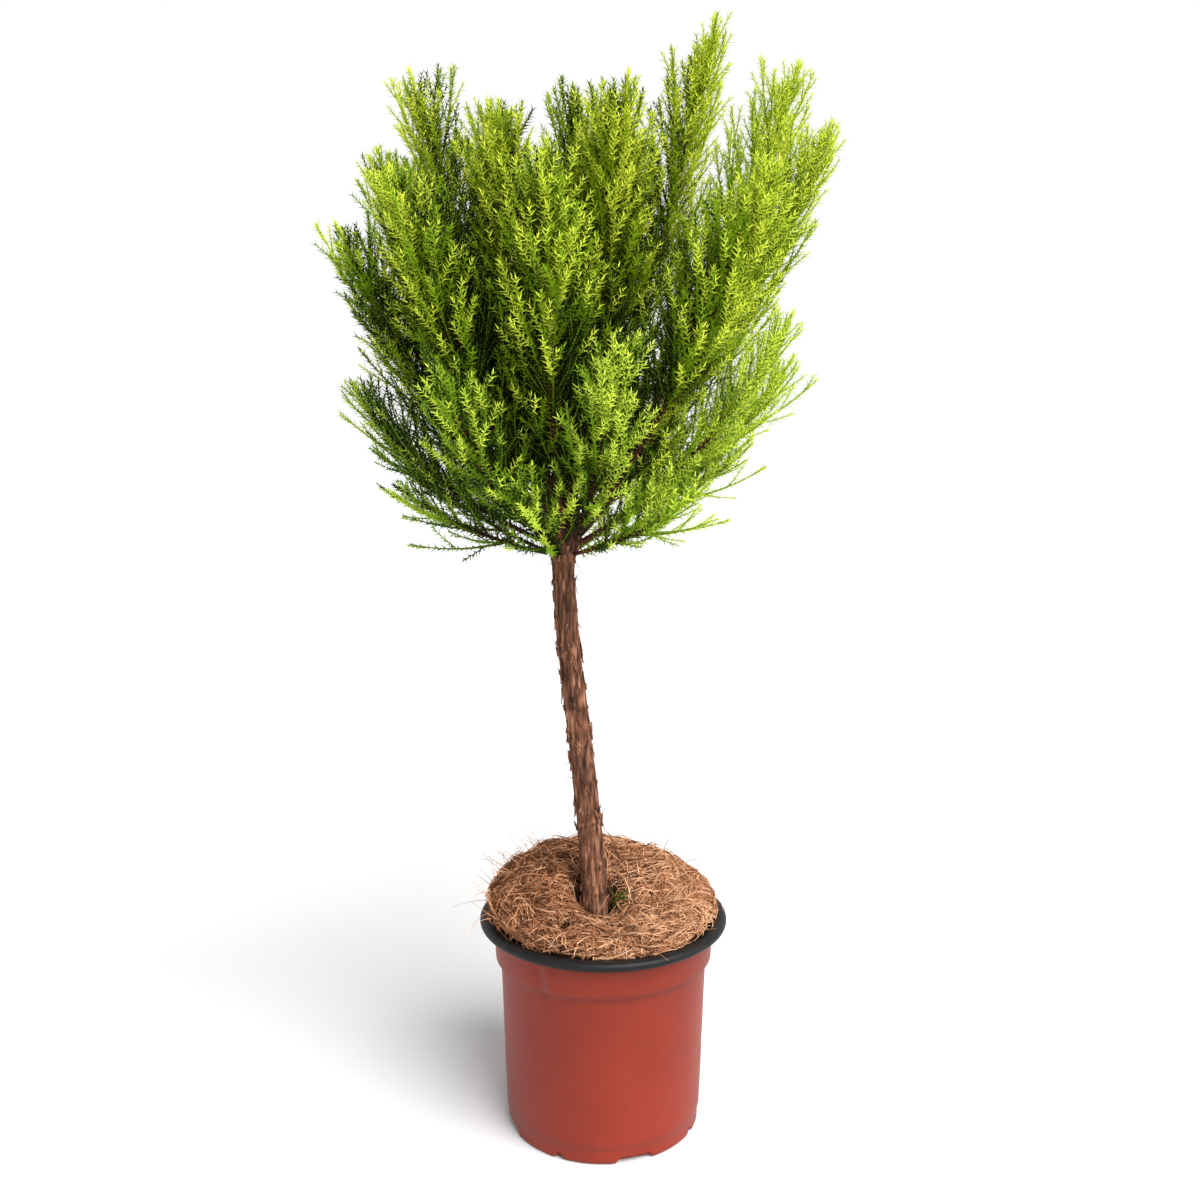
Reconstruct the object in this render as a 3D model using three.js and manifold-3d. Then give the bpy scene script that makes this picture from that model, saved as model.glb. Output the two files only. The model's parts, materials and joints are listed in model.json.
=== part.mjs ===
// A conifer grown as a standard: a bare stem in a thin plastic nursery pot, under a wide crown of
// upright feathery plumes. The pot is mulched with a thick coir mat, cut round the stem.
//
// Units are millimetres. +Z is up, +X is to the right of the front, and -Y is the front. The origin
// is the centre of the pot's flat underside. Bearings are degrees round +Z, counted from +X.
import * as THREE from "three";
import Module from "manifold-3d";
import { mergeVertices } from "three/addons/utils/BufferGeometryUtils.js";

const wasm = await Module();
wasm.setup();

// ---- materials ----------------------------------------------------------------------------------

const TERRACOTTA = new THREE.MeshStandardMaterial({ color: 0xb24a34, roughness: 0.55, metalness: 0 });
const BLACK = new THREE.MeshStandardMaterial({ color: 0x2c2829, roughness: 0.5, metalness: 0 });
const POTTING_MIX = new THREE.MeshStandardMaterial({ color: 0x3a2a20, roughness: 1, metalness: 0 });
const COIR = new THREE.MeshStandardMaterial({ color: 0xa9764f, roughness: 1, metalness: 0 });
const BARK = new THREE.MeshStandardMaterial({ color: 0x8a5c43, roughness: 0.95, metalness: 0 });
const BOUGH_BARK = new THREE.MeshStandardMaterial({ color: 0x6e3a2c, roughness: 0.9, metalness: 0 });
const FOLIAGE_CREST = new THREE.MeshStandardMaterial({ color: 0x9fb322, roughness: 0.7, metalness: 0 });
const FOLIAGE_SIDE = new THREE.MeshStandardMaterial({ color: 0x7c9a1e, roughness: 0.7, metalness: 0 });
const FOLIAGE_LOW = new THREE.MeshStandardMaterial({ color: 0x5f8226, roughness: 0.7, metalness: 0 });

// ---- driving dimensions -------------------------------------------------------------------------

const CLEARANCE = 0.3; // between neighbours that touch
const WELD = 1e-3; // points nearer to each other than this are one
const SLIVER = 0.06; // the finest detail that a joined or cut solid keeps

// The pot: [radius, height] up the outside from the foot to the edge that carries the rim, and up the
// inside of its thin wall.
const POT_OUTSIDE = [
  [57.2, 0],
  [58.6, 1.2],
  [58.8, 10.2],
  [59.6, 11.2],
  [62.4, 105.4],
  [65.5, 107.4],
  [66.4, 127.2],
];
const POT_INSIDE = [
  [57.2, 1.2],
  [61.2, 105.4],
  [64.4, 107.4],
  [65.2, 127.2],
];
const POT_FLOOR = 1.2;
const POT_SEGMENTS = 32;
const RIM = { inner: 65, outer: 75, bottom: 127.5, top: 133, roll: 2.4 };

// Drain recesses: raised in the floor, open to the side, wide and narrow by turns.
const RECESS = {
  count: 8,
  firstBearing: 288.7,
  wide: 25,
  narrow: 7.5,
  height: 4.5,
  slope: 3.4,
  innerRadius: 44,
};

const GROUND = 116; // top of the potting mix

// The coir mat, and how far it rises over its floor: on average, and more towards the back and the
// left. Its crest is at a share of the way out from the stem, and it loses a share of that height
// again at its edge, where it spills over the rim.
const MAT = { hole: 11.2, radius: 64.4, floor: 129, segments: 20, rings: [1, 0.84, 0.62, 0.42, 0.22, 0] };
const MAT_RISE = { mean: 18, back: 11.5, left: 5, crest: 0.62, edgeFall: 0.25, lumps: 2.2, spill: 4.5 };

// The trunk: where it leaves the mix, how far it leans to its fork, and its radii.
const TRUNK = { footX: -5.5, leanX: -18, bowY: 2.5, leanFrom: 130, fork: 358, top: 371.6, sides: 12 };
const TRUNK_RADIUS = { low: 7.7, high: 6.4, flare: 2.3, flareHeight: 16 };
const TRUNK_HEAD = { swell: 5, height: 362, span: 9 };
const TRUNK_HEIGHTS = [
  GROUND + CLEARANCE, 121, 127, 136, 150, 176, 203, 230, 257, 284, 311, 333, 344, 351, 357, 362, 366, 369,
  TRUNK.top,
];

// The crown, ring by ring, from the tallest plume down to the skirt.
// seat: radius and height on the trunk's head where the ring's limbs start.
// arch: shares of the spread and of the rise that a limb has covered at its bend.
// bough: the share of a limb that is bare wood, in a node of its own, or 0 where a plume's own stem
// leaves the trunk. base: the limb's radius there.
// sprays, reach: how many sprays a plume has, and the longest one. core: the girth of its dense heart.
// seed: sets where round its stem each plume's first spray is.
// plumes: [bearing, spread, rise] of each tip from the fork.
const RINGS = [
  {
    name: "leader",
    tone: FOLIAGE_CREST,
    limb: { seat: [0, 371], arch: [0.5, 0.5], bough: 0.34, base: 2.7 },
    foliage: { sprays: 7, reach: 56, core: 15, seed: 8 },
    plumes: [[70, 18, 258]],
  },
  {
    name: "inner",
    tone: FOLIAGE_CREST,
    limb: { seat: [5, 369.5], arch: [0.58, 0.46], bough: 0.32, base: 2.0 },
    foliage: { sprays: 7, reach: 56, core: 14.5, seed: 2 },
    plumes: [[12, 88, 295], [66, 66, 264], [125, 80, 260], [176, 84, 264], [238, 58, 238], [302, 68, 250]],
  },
  {
    name: "upper",
    tone: FOLIAGE_SIDE,
    limb: { seat: [10.3, 366], arch: [0.62, 0.42], bough: 0.3, base: 2.5 },
    foliage: { sprays: 7, reach: 60, core: 16, seed: 8 },
    plumes: [
      [355, 148, 234], [28, 160, 284], [70, 122, 250], [112, 120, 240], [150, 130, 232],
      [187, 124, 180], [226, 118, 200], [268, 112, 208], [316, 150, 200],
    ],
  },
  {
    name: "lower",
    tone: FOLIAGE_LOW,
    limb: { seat: [11.2, 360.5], arch: [0.66, 0.36], bough: 0, base: 1.5 },
    foliage: { sprays: 7, reach: 44, core: 10, seed: 5 },
    plumes: [
      [2, 132, 108], [48, 126, 126], [92, 116, 118], [137, 116, 104],
      [182, 120, 94], [236, 112, 104], [285, 118, 118], [331, 138, 130],
    ],
  },
  {
    name: "skirt",
    tone: FOLIAGE_LOW,
    limb: { seat: [9.6, 354], arch: [0.62, 0.34], bough: 0, base: 1.2 },
    foliage: { sprays: 6, reach: 30, core: 0, seed: 5 },
    plumes: [
      [350, 108, 64], [45, 98, 52], [105, 90, 46], [165, 110, 60], [200, 98, 38], [255, 88, 40],
      [312, 104, 38],
    ],
  },
];
// sway: how far a limb's bend may lie off its bearing. taper: a bough's tip radius as a share of its base's.
const LIMB = { sway: 9, taper: 0.55, root: 4, sides: 5, steps: 3 };
const STEM = { sides: 3, steps: 6, tipRadius: 0.7 };

// Sprays: between which shares of a stem they leave it, and how.
const SPRAY = {
  first: 0.14,
  last: 0.9,
  turn: 137.5, // from each spray to the next, round the stem
  wideAngle: 50, // off the stem, at the first spray
  tipAngle: 24, // and at the stem's tip
  lift: 0.5,
  tipLength: 36,
  shortest: 15,
};
// A spray's needled blade; its stations are where one pair of teeth ends and the next starts, and its
// teeth, sweep and bend are shares of its length.
const BLADE = {
  stations: [0, 0.44, 0.72],
  halfWidth: [1.5, 2.0, 1.2],
  ridge: [1.5, 1.7, 1.1],
  teeth: [0.18, 0.13],
  sweep: 0.1,
  bend: 0.1,
};
// The dense heart of a plume: its girth at some shares of the stem, as shares of the ring's core.
const HEART = {
  shares: [0.04, 0.2, 0.45, 0.7, 0.9],
  girth: [0.12, 0.65, 1, 1, 0.25],
  sides: 5,
  unevenness: 0.5,
  slimmest: 0.6,
};
const CELL_GAP = 1; // how much nearer its own stem than any other each point of a plume stays
const LIMB_GAP = 0.8; // between a spray and any trunk or bough

// ---- helpers ------------------------------------------------------------------------------------

const { degToRad: radians, lerp, clamp, smoothstep } = THREE.MathUtils;
const UP = new THREE.Vector3(0, 0, 1);

// The same number from 0 to 1 for the same pair of indices, every time.
function chance(a, b) {
  const s = Math.sin(a * 12.9898 + b * 78.233) * 43758.5453;
  return s - Math.floor(s);
}

function bearingVector(degrees) {
  return new THREE.Vector3(Math.cos(radians(degrees)), Math.sin(radians(degrees)), 0);
}

function geometryFrom(points, triangles) {
  const geometry = new THREE.BufferGeometry();
  geometry.setAttribute("position", new THREE.Float32BufferAttribute(points.flatMap((p) => p.toArray()), 3));
  geometry.setIndex(triangles.flat());
  return geometry;
}

// A closed three.js geometry as a manifold-3d solid, and back.
function solidOf(geometry) {
  const bare = geometry.clone();
  bare.deleteAttribute("normal");
  bare.deleteAttribute("uv");
  const merged = mergeVertices(bare, WELD);
  const vertProperties = new Float32Array(merged.attributes.position.array);
  const triVerts = new Uint32Array(merged.index.array);
  return new wasm.Manifold(new wasm.Mesh({ numProp: 3, vertProperties, triVerts }));
}

function surfaceOf(solid) {
  const mesh = solid.getMesh();
  const geometry = new THREE.BufferGeometry();
  geometry.setAttribute("position", new THREE.BufferAttribute(mesh.vertProperties, 3));
  geometry.setIndex(new THREE.BufferAttribute(mesh.triVerts, 1));
  geometry.computeVertexNormals();
  return geometry;
}

// A joined solid's outermost body, without the slivers, hollows or scraps that joining leaves.
function geometryOf(solid) {
  const bodies = solidOf(surfaceOf(solid.simplify(SLIVER))).decompose();
  return surfaceOf(bodies.reduce((best, body) => (body.volume() > best.volume() ? body : best)));
}

// A skin over rings of points that run anticlockwise round the way the rings follow each other.
// The ends are flat caps, unless the last ring joins the first.
function skin(rings, joined = false) {
  const n = rings[0].length;
  const triangles = [];
  for (let k = 0; k < (joined ? rings.length : rings.length - 1); k++) {
    const a = k * n;
    const b = ((k + 1) % rings.length) * n;
    for (let i = 0; i < n; i++) {
      const j = (i + 1) % n;
      triangles.push([a + i, a + j, b + j], [a + i, b + j, b + i]);
    }
  }
  if (!joined) {
    const top = (rings.length - 1) * n;
    for (let i = 1; i < n - 1; i++) triangles.push([0, i + 1, i], [top, top + i, top + i + 1]);
  }
  return geometryFrom(rings.flat(), triangles);
}

// Two directions square to one another and to an axis; the second is the nearest to up.
function frameAbout(axis) {
  const side = new THREE.Vector3().crossVectors(UP, axis);
  if (side.lengthSq() < 1e-6) side.set(1, 0, 0);
  side.normalize();
  return [side, new THREE.Vector3().crossVectors(axis, side).normalize()];
}

// The direction square to an axis at a turn round it.
function outwards(axis, turn) {
  const [side, over] = frameAbout(axis);
  return side.multiplyScalar(Math.cos(turn)).addScaledVector(over, Math.sin(turn));
}

function ringAbout(centre, axis, sides, radiusAt) {
  return Array.from({ length: sides }, (_, i) => {
    const turn = (2 * Math.PI * i) / sides;
    const out = outwards(axis, turn);
    return centre.clone().addScaledVector(out, radiusAt(turn, out));
  });
}

// A round tapering limb between two shares of a curve, with a straight root before the first.
function limbAlong(curve, [from, to], [baseRadius, tipRadius], { steps, sides }, root = 0) {
  const rings = [];
  for (let k = 0; k <= steps; k++) {
    const t = lerp(from, to, k / steps);
    const radius = lerp(baseRadius, tipRadius, k / steps);
    rings.push(ringAbout(curve.getPoint(t), curve.getTangent(t), sides, () => radius));
  }
  if (root > 0) {
    const back = curve.getTangent(from).multiplyScalar(-root);
    rings.unshift(rings[0].map((p) => p.clone().add(back)));
  }
  return skin(rings);
}

function named(name, geometry, material) {
  const mesh = new THREE.Mesh(geometry, material);
  mesh.name = name;
  return mesh;
}

// ---- pot ----------------------------------------------------------------------------------------

// A profile of [radius, height] points, closed on the axis at a floor and at a lid.
function closedOnAxis(points, floor, lid) {
  const profile = points.map(([radius, height]) => new THREE.Vector2(radius, height));
  return [new THREE.Vector2(0, floor), ...profile, new THREE.Vector2(0, lid)];
}

function turned(profile) {
  return new THREE.LatheGeometry(profile, POT_SEGMENTS).rotateX(Math.PI / 2);
}

// One drain recess as a prism that runs in from the wall, grown on every side by a margin.
function recess(index, grow) {
  const foot = (index % 2 === 0 ? RECESS.wide : RECESS.narrow) / 2 + grow;
  const head = Math.max(foot - RECESS.slope, 1);
  const top = RECESS.height + grow;
  const shape = new THREE.Shape([
    new THREE.Vector2(-foot, -0.5),
    new THREE.Vector2(foot, -0.5),
    new THREE.Vector2(head, top),
    new THREE.Vector2(-head, top),
  ]);
  const inner = RECESS.innerRadius - grow;
  const prism = new THREE.ExtrudeGeometry(shape, { depth: RIM.outer - inner, bevelEnabled: false });
  const bearing = RECESS.firstBearing + (360 / RECESS.count) * index;
  prism.rotateX(Math.PI / 2).translate(0, -inner, 0).rotateZ(radians(bearing + 90));
  return solidOf(prism);
}

function recesses(grow) {
  let all = recess(0, grow);
  for (let i = 1; i < RECESS.count; i++) all = all.add(recess(i, grow));
  return all;
}

function pot() {
  const [edgeRadius, edge] = POT_INSIDE[POT_INSIDE.length - 1];
  const over = edge + 5;
  const outside = solidOf(turned(closedOnAxis(POT_OUTSIDE, 0, edge)));
  const inside = solidOf(turned(closedOnAxis([...POT_INSIDE, [edgeRadius, over]], POT_FLOOR, over)));
  const floorBumps = recesses(POT_FLOOR).intersect(outside);
  return geometryOf(outside.subtract(inside).add(floorBumps).subtract(recesses(0)));
}

// The black rolled rim, which caps the wall's top edge.
function rim() {
  const { inner, outer, bottom, top, roll } = RIM;
  const profile = [
    new THREE.Vector2(inner, bottom),
    new THREE.Vector2(outer - roll * 0.4, bottom),
    new THREE.Vector2(outer, bottom + roll * 0.6),
    new THREE.Vector2(outer, top - roll),
    new THREE.Vector2(outer - roll * 0.4, top - roll * 0.35),
    new THREE.Vector2(outer - roll * 1.4, top),
    new THREE.Vector2(inner + 0.4, top - 0.8),
    new THREE.Vector2(inner, bottom),
  ];
  return turned(profile);
}

// The potting mix, which fills the pot up to a level inside its collar.
function pottingMix() {
  const [foot, step, collar, edge] = POT_INSIDE;
  const top = lerp(collar[0], edge[0], (GROUND - collar[1]) / (edge[1] - collar[1]));
  const floor = POT_FLOOR + CLEARANCE;
  const inset = CLEARANCE + 0.1; // flat facets lie nearer the axis than the wall's corners
  const points = [[foot[0], floor], step, collar, [top, GROUND]].map(([r, z]) => [r - inset, z]);
  const plug = solidOf(turned(closedOnAxis(points, floor, GROUND)));
  return geometryOf(plug.subtract(recesses(floor)));
}

// ---- coir mat -----------------------------------------------------------------------------------

// How high the mat's top lies at a share of the way out from the stem.
function matHeight(turn, share) {
  const { mean, back, left, crest, edgeFall, lumps } = MAT_RISE;
  const rise = mean + back * Math.sin(turn) - left * Math.cos(turn);
  const inwards = Math.max(0, (crest - share) / crest);
  const outwardsOfCrest = Math.max(0, (share - crest) / (1 - crest));
  const fall = inwards ** 2 + edgeFall * outwardsOfCrest ** 2;
  const evenness = share === 1 ? 0.3 : Math.min(1, 3 * share);
  const lump = lumps * evenness * (chance(Math.round(turn * 100), share * 7) - 0.5);
  return MAT.floor + rise * (1 - fall) + lump;
}

function coirMat() {
  const bottom = GROUND + CLEARANCE;
  const edgeHeight = (turn) => matHeight(turn, 1);
  const spill = (turn) => MAT_RISE.spill * smoothstep(edgeHeight(turn), RIM.top + 2, RIM.top + 10);
  const onHole = (turn, z) => outwards(UP, turn).multiplyScalar(MAT.hole).add({ x: TRUNK.footX, y: 0, z });
  const onEdge = (turn, spread, z) => outwards(UP, turn).multiplyScalar(MAT.radius + spread).setZ(z);
  const loop = (place) => {
    return Array.from({ length: MAT.segments }, (_, i) => place((2 * Math.PI * i) / MAT.segments));
  };
  const top = MAT.rings.map((share) =>
    loop((turn) => {
      const edge = onEdge(turn, spill(turn) / 2, 0);
      return onHole(turn, 0).lerp(edge, share).setZ(matHeight(turn, share));
    }),
  );
  const loops = [
    loop((turn) => onHole(turn, bottom)),
    loop((turn) => onEdge(turn, 0, bottom)),
    loop((turn) => onEdge(turn, 0, Math.min(RIM.top + 0.6, edgeHeight(turn) - 4))),
    loop((turn) => onEdge(turn, spill(turn), edgeHeight(turn) - 2)),
    ...top,
  ];
  return skin(loops, true);
}

// ---- trunk --------------------------------------------------------------------------------------

function trunkCentre(z) {
  const share = clamp((z - TRUNK.leanFrom) / (TRUNK.fork - TRUNK.leanFrom), 0, 1);
  const lean = TRUNK.leanX * share * share * (3 - 2 * share);
  return new THREE.Vector3(TRUNK.footX + lean, TRUNK.bowY * Math.sin(Math.PI * share), z);
}

// A slow taper, a flare at the foot, and a swollen head that closes in a dome.
function trunkRadius(z) {
  const taper = lerp(TRUNK_RADIUS.low, TRUNK_RADIUS.high, (z - GROUND) / (TRUNK.fork - GROUND));
  const flare = TRUNK_RADIUS.flare * Math.exp(-(z - GROUND) / TRUNK_RADIUS.flareHeight);
  const fromHead = z - TRUNK_HEAD.height;
  const swell = TRUNK_HEAD.swell * Math.exp(-((fromHead / TRUNK_HEAD.span) ** 2));
  const domeShare = Math.max(0, fromHead) / (TRUNK.top + 0.4 - TRUNK_HEAD.height);
  return (taper + flare + swell) * Math.sqrt(1 - domeShare ** 2);
}

// Shallow ridges that wind up the bark.
function ridges(turn, z) {
  return 1 + 0.035 * Math.sin(3 * turn + z * 0.045) + 0.03 * Math.sin(5 * turn - z * 0.09);
}

function trunk(grow = 0) {
  const rings = TRUNK_HEIGHTS.map((z) =>
    ringAbout(trunkCentre(z), UP, TRUNK.sides, (turn) => trunkRadius(z) * ridges(turn, z) + grow),
  );
  return skin(rings);
}

// ---- crown: the limbs ---------------------------------------------------------------------------

// The curve from the trunk's head to a plume's tip.
function limbCurve({ seat, arch }, [bearing, spread, rise], number) {
  const out = bearingVector(bearing);
  const start = trunkCentre(seat[1]).addScaledVector(out, seat[0]);
  const tip = trunkCentre(TRUNK.fork).addScaledVector(out, spread);
  tip.z += rise;
  const bend = start.clone().lerp(tip, arch[0]).setZ(lerp(start.z, tip.z, arch[1]));
  bend.addScaledVector(bearingVector(bearing + 90), LIMB.sway * (2 * chance(number, 5) - 1));
  return new THREE.QuadraticBezierCurve3(start, bend, tip);
}

// One limb per plume, with the wood at its base and the foliage further on.
function limbsOfCrown() {
  const limbs = [];
  for (const { name, tone, limb, foliage, plumes } of RINGS) {
    plumes.forEach((plume, i) => {
      const number = limbs.length;
      const curve = limbCurve(limb, plume, number);
      limbs.push({
        name: plumes.length === 1 ? name : `${name}_${i + 1}`,
        tone,
        ...limb,
        ...foliage,
        number,
        curve,
        length: curve.getLength(),
        track: curve.getPoints(18),
      });
    });
  }
  return limbs;
}

const LIMBS = limbsOfCrown();
const TRUNK_TRACK = TRUNK_HEIGHTS.map(trunkCentre);

function distanceTo(track, point) {
  const segment = new THREE.Line3();
  const nearest = new THREE.Vector3();
  let best = Infinity;
  for (let i = 0; i + 1 < track.length; i++) {
    segment.set(track[i], track[i + 1]).closestPointToPoint(point, true, nearest);
    best = Math.min(best, nearest.distanceTo(point));
  }
  return best;
}

// Whether a point lies in a plume's own space, clear of every other limb and of the trunk.
function inOwnSpace(limb, point) {
  const trunkSurface = trunkRadius(Math.min(point.z, TRUNK_HEAD.height));
  if (distanceTo(TRUNK_TRACK, point) < trunkSurface + LIMB_GAP) return false;
  const own = distanceTo(limb.track, point);
  return LIMBS.every((other) => {
    if (other === limb) return true;
    return distanceTo(other.track, point) > Math.max(own + CELL_GAP, other.base + LIMB_GAP);
  });
}

function bough({ curve, bough: end, base }, trunkCutter) {
  const wood = solidOf(limbAlong(curve, [0, end], [base, base * LIMB.taper], LIMB, LIMB.root));
  return geometryOf(wood.subtract(trunkCutter));
}

// ---- crown: the masses --------------------------------------------------------------------------

// A toothed blade: a tapering strip, flat below and ridged above, with a pair of pointed teeth between
// each two stations.
function blade(root, axis, across, length) {
  const over = new THREE.Vector3().crossVectors(axis, across).normalize();
  const lift = UP.clone().addScaledVector(axis, -UP.dot(axis));
  const points = [];
  const point = (share, side, height) => {
    const p = root.clone().addScaledVector(axis, length * share).addScaledVector(across, side);
    p.addScaledVector(over, height).addScaledVector(lift, length * BLADE.bend * share * share);
    return points.push(p) - 1;
  };
  const sections = BLADE.stations.map((share, k) => [
    point(share, BLADE.halfWidth[k], 0),
    point(share, 0, BLADE.ridge[k]),
    point(share, -BLADE.halfWidth[k], 0),
  ]);
  const [baseRight, baseTop, baseLeft] = sections[0];
  const triangles = [[baseRight, baseLeft, baseTop]];
  for (let k = 0; k + 1 < sections.length; k++) {
    const [right, top, left] = sections[k];
    const [nextRight, nextTop, nextLeft] = sections[k + 1];
    const reach = length * BLADE.teeth[k];
    const toothRight = point(BLADE.stations[k + 1] + BLADE.sweep, reach, 0);
    const toothLeft = point(BLADE.stations[k + 1] + BLADE.sweep, -reach, 0);
    triangles.push([toothRight, right, top], [toothRight, top, nextTop], [toothRight, nextTop, nextRight]);
    triangles.push([toothLeft, nextLeft, nextTop], [toothLeft, nextTop, top], [toothLeft, top, left]);
    triangles.push([left, right, nextRight], [left, nextRight, nextLeft]);
    triangles.push([right, toothRight, nextRight], [left, nextLeft, toothLeft]);
  }
  const [right, top, left] = sections[sections.length - 1];
  const tip = point(1, 0, 0);
  triangles.push([right, top, tip], [top, left, tip], [left, right, tip]);
  return { points, geometry: geometryFrom(points, triangles) };
}

// Where and which way each spray leaves its plume's stem, and how long it is. Those near the tip are
// shorter, so that none outreaches it.
function spraysOf({ curve, bough: stemStart, sprays, reach, seed, number, length }) {
  return Array.from({ length: sprays }, (_, j) => {
    const share = lerp(SPRAY.first, SPRAY.last, (j + 0.5) / sprays);
    const t = lerp(stemStart, 1, share);
    const tangent = curve.getTangent(t);
    const turn = radians(SPRAY.turn * j + 360 * chance(number, seed));
    const wobble = 8 * (chance(number, 10 + j) - 0.5);
    const angle = radians(lerp(SPRAY.wideAngle, SPRAY.tipAngle, share) + wobble);
    const axis = outwards(tangent, turn).multiplyScalar(Math.sin(angle));
    axis.addScaledVector(tangent, Math.cos(angle));
    axis.addScaledVector(UP, SPRAY.lift * Math.sin(angle)).normalize();
    const toTip = (length * (1 - t)) / Math.cos(angle);
    const full = reach * (0.85 + 0.3 * chance(number, 40 + j));
    return {
      root: curve.getPoint(t),
      axis,
      across: outwards(axis, Math.PI * chance(number, 70 + j)),
      length: Math.min(full, toTip),
    };
  });
}

// The spray's blade, shortened until it keeps to its plume's space, or null where none does.
function sprayBlade(limb, { root, axis, across, length }) {
  for (const share of [1, 0.82, 0.66, 0.5]) {
    if (length * share < SPRAY.shortest) return null;
    const { points, geometry } = blade(root, axis, across, length * share);
    if (points.slice(3).every((p) => inOwnSpace(limb, p))) return geometry;
  }
  return null;
}

// The plume's dense heart: a spindle round its stem that stays well inside its space.
function heart(limb) {
  const { curve, bough: stemStart, core, number } = limb;
  const rings = HEART.shares.map((share, k) => {
    const t = lerp(Math.max(stemStart, 0.2), 1, share);
    const centre = curve.getPoint(t);
    const radiusAt = (turn, out) => {
      const uneven = 1 + HEART.unevenness * (chance(9 * number + k, turn) - 0.5);
      let radius = core * HEART.girth[k] * uneven;
      const fits = () => inOwnSpace(limb, centre.clone().addScaledVector(out, radius * 1.25));
      while (radius > HEART.slimmest && !fits()) radius *= 0.85;
      return Math.max(radius, HEART.slimmest);
    };
    return ringAbout(centre, curve.getTangent(t), HEART.sides, radiusAt);
  });
  return skin(rings);
}

// The plume's own stem, which starts clear of its bough's tip or runs into the trunk's head.
function stem({ curve, bough: boughEnd, base }, end) {
  if (boughEnd === 0) return limbAlong(curve, [0, end], [base, STEM.tipRadius], STEM, LIMB.root);
  const step = 1e-3;
  const speed = curve.getPoint(boughEnd + step).distanceTo(curve.getPoint(boughEnd)) / step;
  const start = boughEnd + CLEARANCE / speed;
  return limbAlong(curve, [start, end], [base * LIMB.taper, STEM.tipRadius], STEM);
}

// The blade that ends the stem and reaches the plume's tip.
function tipBlade({ curve }, start) {
  const root = curve.getPoint(start);
  const axis = curve.getPoint(1).sub(root);
  const length = axis.length();
  axis.normalize();
  return blade(root, axis, frameAbout(axis)[0], length).geometry;
}

function mass(limb, trunkCutter) {
  const tipStart = 1 - SPRAY.tipLength / limb.length;
  let body = solidOf(stem(limb, tipStart + 0.02)).add(solidOf(tipBlade(limb, tipStart)));
  if (limb.core > 0) body = body.add(solidOf(heart(limb)));
  for (const spray of spraysOf(limb)) {
    const geometry = sprayBlade(limb, spray);
    if (geometry) body = body.add(solidOf(geometry));
  }
  return geometryOf(body.subtract(trunkCutter));
}

// ---- assembly -----------------------------------------------------------------------------------

const topiary = new THREE.Group();
topiary.add(
  named("pot", pot(), TERRACOTTA),
  named("pot_rim", rim(), BLACK),
  named("potting_mix", pottingMix(), POTTING_MIX),
  named("coir_mat", coirMat(), COIR),
  named("trunk", trunk(), BARK),
);

const crown = new THREE.Group();
const trunkCutter = solidOf(trunk(CLEARANCE));
for (const limb of LIMBS) {
  if (limb.bough > 0) crown.add(named(`bough_${limb.name}`, bough(limb, trunkCutter), BOUGH_BARK));
  crown.add(named(`foliage_${limb.name}`, mass(limb, trunkCutter), limb.tone));
}
topiary.add(crown);

export default topiary;
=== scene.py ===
"""The looks of a potted standard conifer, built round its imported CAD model.

The crown is grown again from the CAD's own named sizes: each plume's stem, its sprays by the same
seeded rule, then finer shoots on each spray by that rule again, and needles in pairs on all of them.
The pot, its rim, the coir mat, the trunk and the boughs are finer meshes of the CAD's own shapes.
Sizes are in millimetres here, and become metres as each mesh is made.
"""

import json
import math

import bpy
import numpy as np
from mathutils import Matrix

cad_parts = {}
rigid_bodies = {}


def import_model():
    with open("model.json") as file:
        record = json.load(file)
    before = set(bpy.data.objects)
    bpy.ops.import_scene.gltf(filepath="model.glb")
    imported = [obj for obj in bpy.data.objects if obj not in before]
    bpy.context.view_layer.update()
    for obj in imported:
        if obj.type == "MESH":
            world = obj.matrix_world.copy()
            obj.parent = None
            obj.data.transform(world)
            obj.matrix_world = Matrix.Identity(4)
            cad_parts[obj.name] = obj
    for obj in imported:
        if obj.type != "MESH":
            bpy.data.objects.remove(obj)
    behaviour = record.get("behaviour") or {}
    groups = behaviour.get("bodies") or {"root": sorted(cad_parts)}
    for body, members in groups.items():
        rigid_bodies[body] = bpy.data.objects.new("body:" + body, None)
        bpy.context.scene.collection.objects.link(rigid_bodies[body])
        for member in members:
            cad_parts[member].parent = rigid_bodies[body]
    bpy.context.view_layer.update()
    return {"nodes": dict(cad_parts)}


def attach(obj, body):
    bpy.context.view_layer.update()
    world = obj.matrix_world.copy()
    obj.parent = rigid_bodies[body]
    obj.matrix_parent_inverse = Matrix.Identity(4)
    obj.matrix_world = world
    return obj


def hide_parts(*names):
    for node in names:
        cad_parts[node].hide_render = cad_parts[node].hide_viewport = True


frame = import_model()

# ---- sizes shared with the CAD source ----

# the pot's profiles: (radius, height)
POT_OUTSIDE = [
    (57.2, 0), (58.6, 1.2), (58.8, 10.2), (59.6, 11.2), (62.4, 105.4), (65.5, 107.4), (66.4, 127.2),
]
POT_INSIDE = [(57.2, 1.2), (61.2, 105.4), (64.4, 107.4), (65.2, 127.2)]
RIM = dict(inner=65, outer=75, bottom=127.5, top=133)
RECESS = dict(count=8, first_bearing=288.7, wide=25, narrow=7.5, height=4.5, slope=3.4, inner_radius=44)
MIX_TOP = 116
GROUND = 116.3  # the stem's flat cut and the mat's underside
MAT = dict(hole=11.2, radius=64.4, floor=129)
MAT_RISE = dict(mean=18, back=11.5, left=5, crest=0.62, edge_fall=0.25, spill=4.5)
TRUNK = dict(foot_x=-5.5, lean_x=-18, bow_y=2.5, lean_from=130, fork=358, top=371.6)
TRUNK_RADIUS = dict(low=7.7, high=6.4, flare=2.3, flare_height=16)
TRUNK_HEAD = dict(swell=5, height=362, span=9)

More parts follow.
